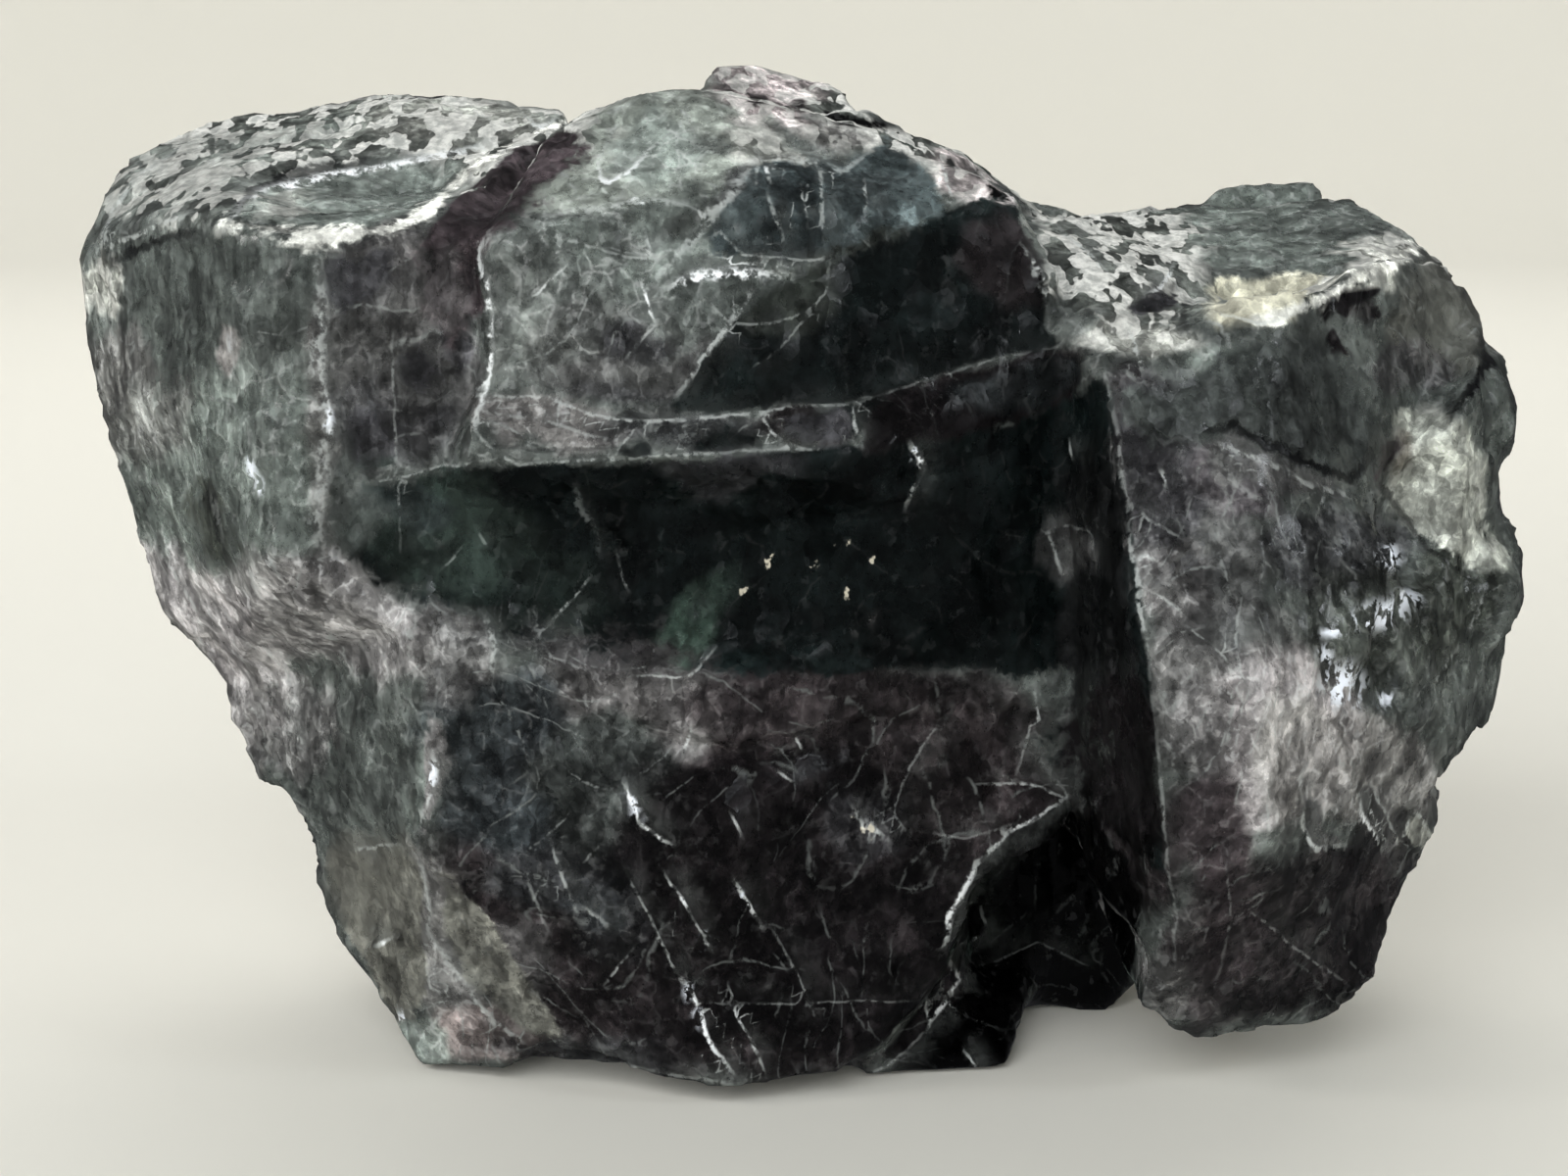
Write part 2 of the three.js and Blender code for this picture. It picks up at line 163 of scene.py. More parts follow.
# Paints: what a zone of the stone looks like. rgb is as the eye sees it; clear is the share of light
# that passes into the crystal, rough its surface roughness, mottle and wisps the strength of cloudy
# specks and of fine white threads, and crust how much white etched skin lies on it, usually none.
Paint = namedtuple("Paint", "rgb clear rough mottle wisps crust", defaults=[0.0])
PAINTS = {
    "black": Paint((3, 3, 3), 0.60, 0.60, 0.1, 0.0),
    "night": Paint((22, 20, 21), 0.80, 0.32, 0.6, 0.05),
    "deep": Paint((17, 21, 21), 0.85, 0.30, 0.6, 0.05),
    "dusk": Paint((36, 33, 34), 0.75, 0.32, 0.6, 0.12),
    "bottle": Paint((36, 43, 40), 0.80, 0.30, 0.9, 0.15),
    "dark teal": Paint((38, 43, 44), 0.70, 0.36, 0.6, 0.15),
    "ink": Paint((46, 46, 48), 0.70, 0.32, 0.6, 0.20),
    "grape": Paint((51, 46, 48), 0.65, 0.34, 0.5, 0.20),
    "blue slate": Paint((41, 45, 47), 0.60, 0.32, 0.6, 0.15),
    "moss": Paint((54, 57, 53), 0.70, 0.30, 0.6, 0.20),
    "fern": Paint((62, 77, 69), 0.70, 0.32, 0.5, 0.10),
    "coal": Paint((50, 53, 52), 0.60, 0.34, 0.6, 0.10),
    "plum": Paint((60, 58, 60), 0.60, 0.34, 0.5, 0.20),
    "teal": Paint((60, 67, 68), 0.65, 0.40, 0.4, 0.20),
    "pewter": Paint((68, 72, 70), 0.60, 0.32, 0.4, 0.15),
    "umber": Paint((66, 66, 66), 0.55, 0.36, 0.5, 0.15),
    "slate": Paint((74, 78, 76), 0.60, 0.32, 0.4, 0.20),
    "smoke": Paint((88, 87, 87), 0.50, 0.34, 0.6, 0.40),
    "glass grey": Paint((84, 88, 86), 0.50, 0.30, 0.5, 0.35),
    "sage": Paint((102, 109, 105), 0.55, 0.32, 0.4, 0.40),
    "lilac": Paint((112, 110, 109), 0.40, 0.36, 0.5, 0.60),
    "pebble": Paint((89, 89, 84), 0.45, 0.42, 0.2, 0.10),
    "lavender": Paint((104, 96, 95), 0.40, 0.38, 0.5, 0.30),
    "mint": Paint((128, 137, 132), 0.45, 0.34, 0.4, 0.50),
    "frost": Paint((141, 148, 141), 0.40, 0.34, 0.4, 0.40),
    "haze": Paint((149, 145, 146), 0.25, 0.42, 0.5, 0.90),
    "crust": Paint((84, 88, 84), 0.30, 0.55, 0.6, 0.10, 1.0),
    "rind": Paint((150, 152, 146), 0.10, 0.65, 0.6, 0.10, 0.7),
    "white": Paint((216, 217, 210), 0.05, 0.60, 0.4, 0.00, 0.2),
    "cream": Paint((184, 182, 164), 0.05, 0.70, 0.3, 0.00),
    "pink": Paint((160, 151, 151), 0.05, 0.70, 0.8, 0.10, 0.5),
    "lichen": Paint((148, 151, 144), 0.10, 0.60, 0.5, 0.10, 0.3),
    "brown": Paint((92, 84, 74), 0.10, 0.60, 0.5, 0.00),
}

# Soft patches of paint on the front, in the order that they are laid on: the middle and the two half-widths
# in the picture that the camera frames, how strongly the paint covers, and any tilt in degrees.
PATCHES = [
    # The left flank
    ("slate", (200, 330), (140, 110), 0.9),
    ("sage", (230, 480), (115, 110), 0.8),
    ("lilac", (140, 400), (60, 80), 0.6, 20),
    ("slate", (262, 400), (26, 60), 0.5, 8),
    ("sage", (262, 486), (22, 34), 0.5),
    ("lilac", (330, 420), (18, 140), 0.7),
    ("haze", (190, 625), (80, 60), 0.8, 40),
    ("haze", (330, 625), (120, 50), 0.65, 22),
    ("haze", (250, 700), (60, 60), 0.7, 40),
    # The violet face beside the pane
    ("umber", (410, 350), (86, 125), 0.95),
    ("smoke", (420, 300), (22, 60), 0.2, 6),
    ("ink", (462, 320), (20, 70), 0.9),
    ("ink", (370, 425), (30, 34), 0.4),
    ("smoke", (400, 262), (60, 14), 0.6),
    ("ink", (400, 455), (60, 34), 0.6),
    # The pane
    ("glass grey", (600, 310), (125, 100), 0.95),
    ("frost", (640, 150), (130, 66), 1.0, -8),
    ("mint", (670, 152), (46, 42), 0.9),
    ("frost", (600, 200), (54, 16), 0.7, -10),
    ("sage", (682, 212), (40, 14), 0.6, -30),
    ("sage", (600, 244), (44, 14), 0.6, 10),
    ("sage", (690, 262), (60, 14), 0.8, -20),
    ("umber", (610, 340), (60, 40), 0.5),
    ("pewter", (770, 290), (100, 36), 0.9),
    ("umber", (650, 385), (100, 28), 0.8),
    ("ink", (650, 340), (34, 26), 0.85),
    ("ink", (640, 404), (60, 12), 0.6, 8),
    ("umber", (705, 362), (30, 18), 0.8, -30),
    ("teal", (850, 205), (105, 46), 0.95, 8),
    ("umber", (766, 205), (34, 40), 0.7),
    ("moss", (890, 236), (70, 18), 0.8, -16),
    # The ledge
    ("lilac", (560, 432), (85, 24), 0.9, 8),
    ("lilac", (530, 428), (40, 12), 0.7, 14),
    ("ink", (700, 440), (80, 18), 0.7),
    ("dusk", (820, 436), (56, 22), 0.9),
    ("deep", (900, 424), (60, 20), 0.9, -10),
    ("dusk", (1000, 398), (110, 22), 0.95, -14),
    # The lower front
    ("dusk", (780, 880), (330, 230), 1.0),
    ("smoke", (640, 716), (110, 66), 0.85),
    ("plum", (600, 672), (80, 26), 0.6, 8),
    ("dusk", (840, 722), (150, 40), 0.85),
    ("dusk", (980, 722), (100, 32), 0.8),
    ("blue slate", (500, 780), (90, 90), 0.9),
    ("smoke", (455, 665), (46, 56), 0.8),
    ("blue slate", (590, 870), (90, 70), 0.6),
    ("coal", (622, 805), (80, 62), 0.95, 20),
    ("night", (790, 870), (170, 110), 0.9),
    ("night", (900, 980), (170, 100), 0.9),
    ("blue slate", (615, 935), (46, 40), 0.4, 30),
    ("night", (720, 1020), (110, 50), 0.6),
    ("ink", (880, 840), (50, 34), 0.6),
    # The toe
    ("pewter", (370, 790), (55, 90), 0.9),
    ("smoke", (300, 745), (45, 50), 0.8, 40),
    ("sage", (432, 800), (14, 60), 0.7, 5),
    ("pebble", (380, 905), (60, 60), 0.8, -20),
    ("lilac", (456, 960), (40, 90), 0.7, -22),
    ("umber", (510, 1000), (50, 60), 0.6, -22),
    ("lavender", (500, 1058), (70, 32), 0.9),
    ("mint", (432, 1062), (28, 30), 0.8),
    # Painted shade along the underside of the toe's bottom edge.
    ("ink", (600, 1076), (100, 16), 0.7, 4),
    # The wall of the right-hand mass beside the dark, its lower part painted darker: painted shade
    ("dusk", (1150, 860), (34, 76), 0.95, -20),
    ("umber", (1175, 470), (30, 100), 0.8, -4),
    # The right-hand mass
    ("slate", (1260, 405), (140, 76), 0.9, 8),
    ("umber", (1310, 430), (80, 40), 0.7, 20),
    ("sage", (1232, 366), (30, 12), 0.8, -8),
    ("plum", (1170, 480), (40, 100), 0.9, -4),
    ("umber", (1225, 570), (70, 70), 0.8),
    ("smoke", (1205, 590), (44, 48), 0.9),
    ("ink", (1186, 476), (48, 76), 0.9, -4),
    ("plum", (1262, 490), (60, 30), 1.0, 20),
    ("haze", (1300, 745), (92, 88), 0.95),
    ("smoke", (1216, 712), (46, 86), 0.85),
    ("umber", (1206, 716), (38, 80), 0.5),
    ("white", (1322, 766), (36, 56), 0.25, 10),
    ("umber", (1262, 648), (62, 32), 0.7, -10),
    ("lilac", (1385, 790), (80, 56), 0.8, 10),
    ("grape", (1232, 850), (54, 64), 0.95),
    ("ink", (1360, 560), (70, 46), 0.8),
    ("moss", (1395, 640), (66, 62), 0.6),
    ("moss", (1492, 620), (48, 100), 0.85),
    ("slate", (1508, 690), (34, 46), 0.7, 30),
    ("dusk", (1330, 950), (110, 90), 0.9),
    ("dusk", (1400, 930), (60, 90), 0.8, 10),
    ("grape", (1240, 960), (50, 90), 0.8),
    ("night", (1340, 985), (100, 60), 0.45),
    ("smoke", (1190, 1005), (30, 34), 0.8),
    # The right-hand rim
    ("pebble", (1480, 320), (60, 60), 0.7),
    ("plum", (1440, 380), (40, 34), 0.7, -20),
    ("pewter", (1522, 412), (30, 56), 0.9),
    ("lichen", (1462, 485), (50, 60), 0.95, 15),
    ("brown", (1434, 470), (12, 26), 0.7, 15),
    ("lichen", (1500, 560), (34, 18), 1.0, 20),
    # The shoulder and the fin
    ("sage", (1290, 228), (130, 34), 0.9),
    ("sage", (1275, 194), (70, 15), 0.9),
    ("slate", (1370, 225), (50, 22), 0.7),
    ("cream", (1285, 306), (50, 22), 1.0, -8),
    ("white", (1335, 286), (50, 13), 1.0, -24),
    ("rind", (1412, 258), (44, 20), 0.9, -20),
    ("dusk", (1376, 314), (24, 14), 0.8, -10),
    # The saddle
    ("crust", (1145, 268), (95, 62), 0.95, 18),
    ("ink", (1184, 308), (20, 12), 0.9, -20),
    ("rind", (1160, 352), (60, 18), 1.0),
    # The cap and the crest
    ("pink", (792, 98), (74, 27), 1.0, 12),
    ("rind", (770, 146), (60, 22), 0.7, 20),
    ("crust", (900, 142), (90, 26), 1.0, 26),
    ("lilac", (860, 140), (30, 10), 0.6, 20),
    ("slate", (720, 140), (22, 22), 0.9, -40),
    ("pink", (995, 192), (50, 20), 0.85, 28),
    # The etched top
    ("crust", (330, 160), (270, 70), 1.0, -6),
    ("slate", (190, 182), (80, 44), 0.35, -24),
    ("sage", (300, 140), (60, 14), 0.4, -14),
    ("rind", (470, 125), (80, 30), 0.6),
    ("sage", (345, 205), (118, 30), 0.95, -8),
    ("sage", (380, 215), (80, 14), 0.8, -10),
    ("rind", (280, 212), (30, 10), 0.5, -20),
    ("slate", (165, 240), (70, 9), 0.8, -22),
    ("rind", (104, 288), (20, 28), 0.9),
]

# Parts with clear-cut borders: the paint, the border's softness in mm, and the corners in the same picture.
# A corner's third number is the softness there, where it isn't the usual one.
ZONES = [
    # The slab behind the pane
    ("deep", 0.3, [
        (690, 416, 0.6), (706, 384, 0.6), (728, 354, 0.5), (750, 328, 0.4), (775, 302, 0.5),
        (806, 288, 0.8), (848, 270, 0.6), (880, 252, 0.7), (925, 236, 0.7), (963, 220, 0.4), (1004, 208),
        (1035, 213), (1053, 246), (1070, 284), (1073, 310), (1064, 334), (1084, 350, 0.4), (1010, 369),
        (930, 391), (871, 407), (840, 411), (769, 418), (720, 421, 0.4),
    ]),
    # The ledge's dark end, and the dark windows in its face
    ("night", 0.4, [
        (884, 412), (930, 396), (1010, 374), (1078, 357), (1106, 366, 0.5), (1112, 386, 0.5), (1100, 402),
        (1045, 434), (999, 446), (938, 456), (884, 462),
    ]),
    ("ink", 0.4, [(796, 424), (860, 418), (866, 448), (812, 453), (798, 444)]),
    ("deep", 0.3, [
        (702, 446, 0.4), (740, 440, 0.5), (774, 444, 0.4), (776, 456), (740, 460), (706, 459),
    ]),
    ("deep", 0.4, [(630, 456), (660, 452), (662, 464, 0.3), (634, 466, 0.3)]),
    # The dome's teal facets
    ("dark teal", 0.3, [
        (772, 166), (800, 164), (834, 168), (837, 200, 0.4), (838, 262, 0.6), (800, 268, 0.6),
        (745, 262, 0.6), (720, 242, 0.5), (742, 206, 0.4),
    ]),
    ("teal", 0.3, [
        (838, 168), (862, 174), (880, 160), (905, 142, 0.4), (928, 152, 0.4), (948, 186), (962, 214, 0.4),
        (925, 232, 1.0), (880, 248, 1.2), (846, 264, 0.8), (839, 230, 0.4),
    ]),
    # The long hollow under the ledge, and the dark wall right of it: partly the stone's dark colour, partly
    # painted shade
    ("deep", 0.3, [
        (350, 518, 1.0), (380, 494, 0.8), (440, 485, 0.5), (490, 475, 0.4), (524, 479), (573, 474),
        (629, 471), (695, 472), (800, 462), (869, 455), (877, 464), (938, 449), (999, 439), (1045, 428),
        (1085, 408, 0.4), (1118, 388, 0.4), (1131, 392, 0.4), (1139, 439), (1149, 511), (1152, 544),
        (1160, 602), (1166, 640, 0.4), (1172, 700, 0.4), (1180, 770, 0.5), (1186, 840, 0.5),
        (1190, 890, 0.5), (1160, 880, 0.6), (1120, 835, 0.6), (1088, 812, 1.2), (1096, 760, 3.0),
        (1092, 690, 1.0), (1060, 682, 0.5), (960, 684, 0.4), (840, 684, 0.4), (765, 682, 0.6),
        (700, 676, 1.6), (655, 660, 2.0), (600, 640, 1.6), (555, 645, 1.4), (520, 640, 1.4),
        (480, 626, 1.2), (430, 606, 1.0), (390, 598, 1.0), (362, 574, 0.8), (344, 545, 0.8),
    ]),
    # The recess, painted black: painted shade
    ("black", 0.3, [
        (1085, 815), (1060, 832), (1030, 850), (1000, 880), (985, 905), (970, 930), (966, 965),
        (985, 985), (985, 1010), (950, 1040, 0.4), (940, 1060, 0.6), (905, 1092, 1.0), (960, 1112, 1.0),
        (1045, 1108, 1.0), (1150, 1045, 0.4), (1158, 1005, 0.4), (1160, 960, 0.4), (1168, 925, 0.4),
        (1150, 880, 0.4), (1120, 840, 0.4),
    ]),
    # The white lip of the etched top
    ("white", 0.3, [
        (222, 222), (262, 228), (300, 230), (350, 234), (398, 229), (430, 210), (450, 193, 0.2),
        (478, 169, 0.2), (520, 141, 0.2), (575, 124, 0.2), (578, 128, 0.2), (524, 148, 0.2),
        (484, 176, 0.2), (460, 197, 0.2), (438, 220, 0.2), (406, 240), (364, 248), (318, 255), (290, 248),
        (296, 240), (262, 238), (228, 234),
    ]),
    # The band under the white rim
    ("grape", 0.8, [
        (426, 262), (432, 246, 0.4), (446, 226, 0.2), (487, 182, 0.2), (526, 154, 0.2), (582, 132, 0.2),
        (602, 134, 1.0), (590, 165, 1.2), (560, 190, 1.0), (530, 218), (500, 240, 0.3), (489, 274, 0.3),
        (494, 313, 0.3), (474, 332), (462, 351), (442, 332), (430, 293),
    ]),
    # Dark blocks in the violet face
    ("ink", 0.6, [(334, 267, 0.5), (399, 259), (402, 284), (370, 308, 0.8), (351, 322), (340, 308, 0.5)]),
    ("ink", 0.3, [
        (409, 361), (428, 349, 0.5), (448, 371, 0.6), (455, 395, 0.6), (431, 405, 0.5), (411, 390),
    ]),
    ("ink", 0.5, [(356, 424), (394, 419), (401, 468, 0.3), (375, 475), (351, 468, 0.6)]),
    # The upper flank's dark facets
    ("pewter", 0.8, [
        (130, 262, 0.6), (205, 237, 0.4), (262, 244, 0.4), (300, 254, 0.5), (318, 262), (316, 330, 1.2),
        (298, 360), (285, 330, 0.5), (262, 345), (240, 330, 0.5), (225, 370), (170, 400, 1.2),
        (150, 370, 1.0), (140, 330, 0.6),
    ]),
    ("moss", 1.0, [
        (204, 492, 0.5), (214, 488, 0.5), (226, 520, 0.4), (240, 560), (230, 580), (206, 560), (196, 520),
    ]),
    # The right-hand mass's dark face, and the paler ridge under it
    ("coal", 0.6, [
        (1247, 362, 0.5), (1312, 344, 0.5), (1352, 336), (1378, 375), (1404, 421), (1410, 441, 0.4),
        (1404, 462, 0.4), (1378, 490, 0.3), (1345, 480, 0.3), (1299, 460, 0.3), (1262, 440, 0.4),
        (1221, 447), (1182, 467, 0.8), (1149, 424, 0.8), (1149, 401, 0.8), (1201, 392, 0.5),
        (1228, 384, 0.3),
    ]),
    ("umber", 0.3, [
        (1240, 449), (1262, 443), (1299, 463, 0.2), (1345, 483, 0.2), (1362, 492), (1372, 510, 0.5),
        (1340, 502, 0.4), (1306, 512, 0.4), (1290, 492), (1270, 484), (1248, 500, 0.5), (1238, 478, 0.4),
    ]),
    # Plates at the lower end of the haze
    ("umber", 0.2, [
        (1331, 812, 0.3), (1345, 820, 0.3), (1352, 850), (1368, 856), (1366, 866), (1342, 864),
        (1331, 848),
    ]),
    ("umber", 0.2, [
        (1388, 806, 0.3), (1398, 800, 0.3), (1412, 830), (1424, 866), (1408, 866), (1392, 838),
    ]),
    ("rind", 0.2, [(1434, 832), (1448, 828), (1462, 852), (1456, 868), (1440, 864), (1431, 848)]),
    # The pocket's floor, its white lip, and the pits beside it
    ("cream", 0.3, [
        (1241, 284), (1273, 287), (1326, 279), (1350, 281), (1336, 305, 0.4), (1299, 323, 0.4),
        (1267, 331), (1244, 320),
    ]),
    ("white", 0.3, [
        (1262, 328), (1299, 320), (1332, 306), (1365, 291), (1400, 264, 0.4), (1443, 249, 0.4),
        (1452, 258, 0.4), (1417, 276, 0.4), (1388, 290), (1352, 313), (1299, 334),
    ]),
    ("night", 0.2, [
        (1346, 318), (1356, 306), (1368, 296), (1382, 298), (1400, 292), (1405, 299), (1390, 309),
        (1376, 312), (1370, 324), (1360, 320), (1352, 330),
    ]),
    ("night", 0.2, [(1352, 338), (1362, 334), (1368, 352), (1376, 360), (1364, 362), (1354, 352)]),
    ("night", 0.2, [(1396, 316), (1406, 312), (1408, 322), (1398, 324)]),
    # The pale crust on the right-hand rim, and its brown pocket
    ("lichen", 0.3, [
        (1410, 421, 0.4), (1437, 415), (1476, 421), (1492, 440, 0.4), (1498, 480, 0.6), (1512, 520, 0.4),
        (1520, 560), (1508, 577), (1476, 558), (1443, 542, 0.4), (1424, 522, 0.4), (1424, 492),
        (1448, 452), (1440, 440), (1418, 438),
    ]),
    ("grape", 0.3, [
        (1410, 449), (1428, 443), (1432, 455), (1414, 486), (1406, 494, 0.4), (1402, 474, 0.4),
    ]),
    # Black spots in the cap and the crest
    ("black", 0.3, [(843, 116), (872, 120), (905, 124), (908, 132), (880, 131), (850, 124)]),
    ("black", 0.3, [(966, 162), (974, 164), (976, 173), (968, 171)]),
    ("black", 0.3, [(985, 172), (1000, 174), (1001, 182), (988, 180)]),
    ("black", 0.3, [(1008, 188), (1026, 192), (1030, 202), (1014, 200)]),
    ("dusk", 0.3, [(764, 96), (784, 98), (790, 108, 0.4), (772, 109, 0.4)]),
    ("dusk", 0.3, [(806, 106), (822, 104), (826, 112, 0.4), (810, 114, 0.4)]),
    # The fin, and the flat facets of the toe
    ("smoke", 0.2, [
        (440, 735, 0.3), (452, 745, 0.4), (460, 775, 0.5), (450, 802, 0.4), (444, 830, 0.3), (436, 858),
        (430, 850), (432, 820), (434, 790), (432, 765, 0.3),
    ]),
    ("pebble", 0.3, [
        (338, 868), (390, 872, 0.4), (428, 880), (432, 941), (436, 1000), (424, 1040, 0.4), (405, 1050),
        (372, 980), (345, 925),
    ]),
    ("pebble", 0.3, [
        (446, 892, 0.4), (470, 905, 0.4), (500, 938), (528, 987), (560, 1033, 0.4), (572, 1062, 0.6),
        (538, 1054, 0.5), (509, 1033), (478, 996), (455, 950),
    ]),
    # The lens in the left flank
    ("lilac", 0.3, [
        (226, 330), (240, 334, 0.2), (246, 352, 0.2), (240, 374, 0.2), (231, 386), (222, 368), (220, 346),
    ]),
    # The saddle's dark pocket
    ("ink", 0.3, [(1153, 314), (1176, 302), (1201, 296), (1197, 314), (1160, 323)]),
]

# Soft patches within those parts.
ZONE_PATCHES = [
    ("moss", (800, 300), (60, 34), 0.6, -20),
    ("bottle", (445, 540), (120, 60), 0.9, 10),
    ("dark teal", (400, 522), (50, 22), 0.7, 24),
    ("slate", (356, 540), (38, 38), 0.7),
    ("bottle", (560, 610), (70, 40), 0.5),
    ("fern", (712, 644), (60, 24), 0.8, -52),
    ("bottle", (745, 610), (34, 22), 0.6, -50),
    ("dusk", (1025, 275), (44, 50), 0.9),
    ("ink", (735, 478), (76, 20), 0.85),
    ("dusk", (1120, 640), (36, 180), 0.4, -4),
    ("umber", (1082, 566), (22, 32), 0.75),
    # Painted shade on the dark wall above the recess.
    ("night", (1135, 780), (60, 100), 0.9),
    # Painted shade deep in the recess.
    ("black", (1065, 930), (110, 150), 1.0),
    ("umber", (450, 300), (24, 40), 0.5),
    ("teal", (766, 205), (30, 44), 0.8, 10),
    ("dark teal", (1030, 402), (80, 24), 0.5, -14),
]

# Where upright streaks show: the middle and the half-widths, their strength, and any tilt.
STREAKED = [
    ((215, 375), (155, 175), 0.45),
    ((410, 360), (100, 140), 0.35),
    ((850, 195), (105, 52), 0.7, 8),
    ((1220, 600), (60, 140), 0.2),
]
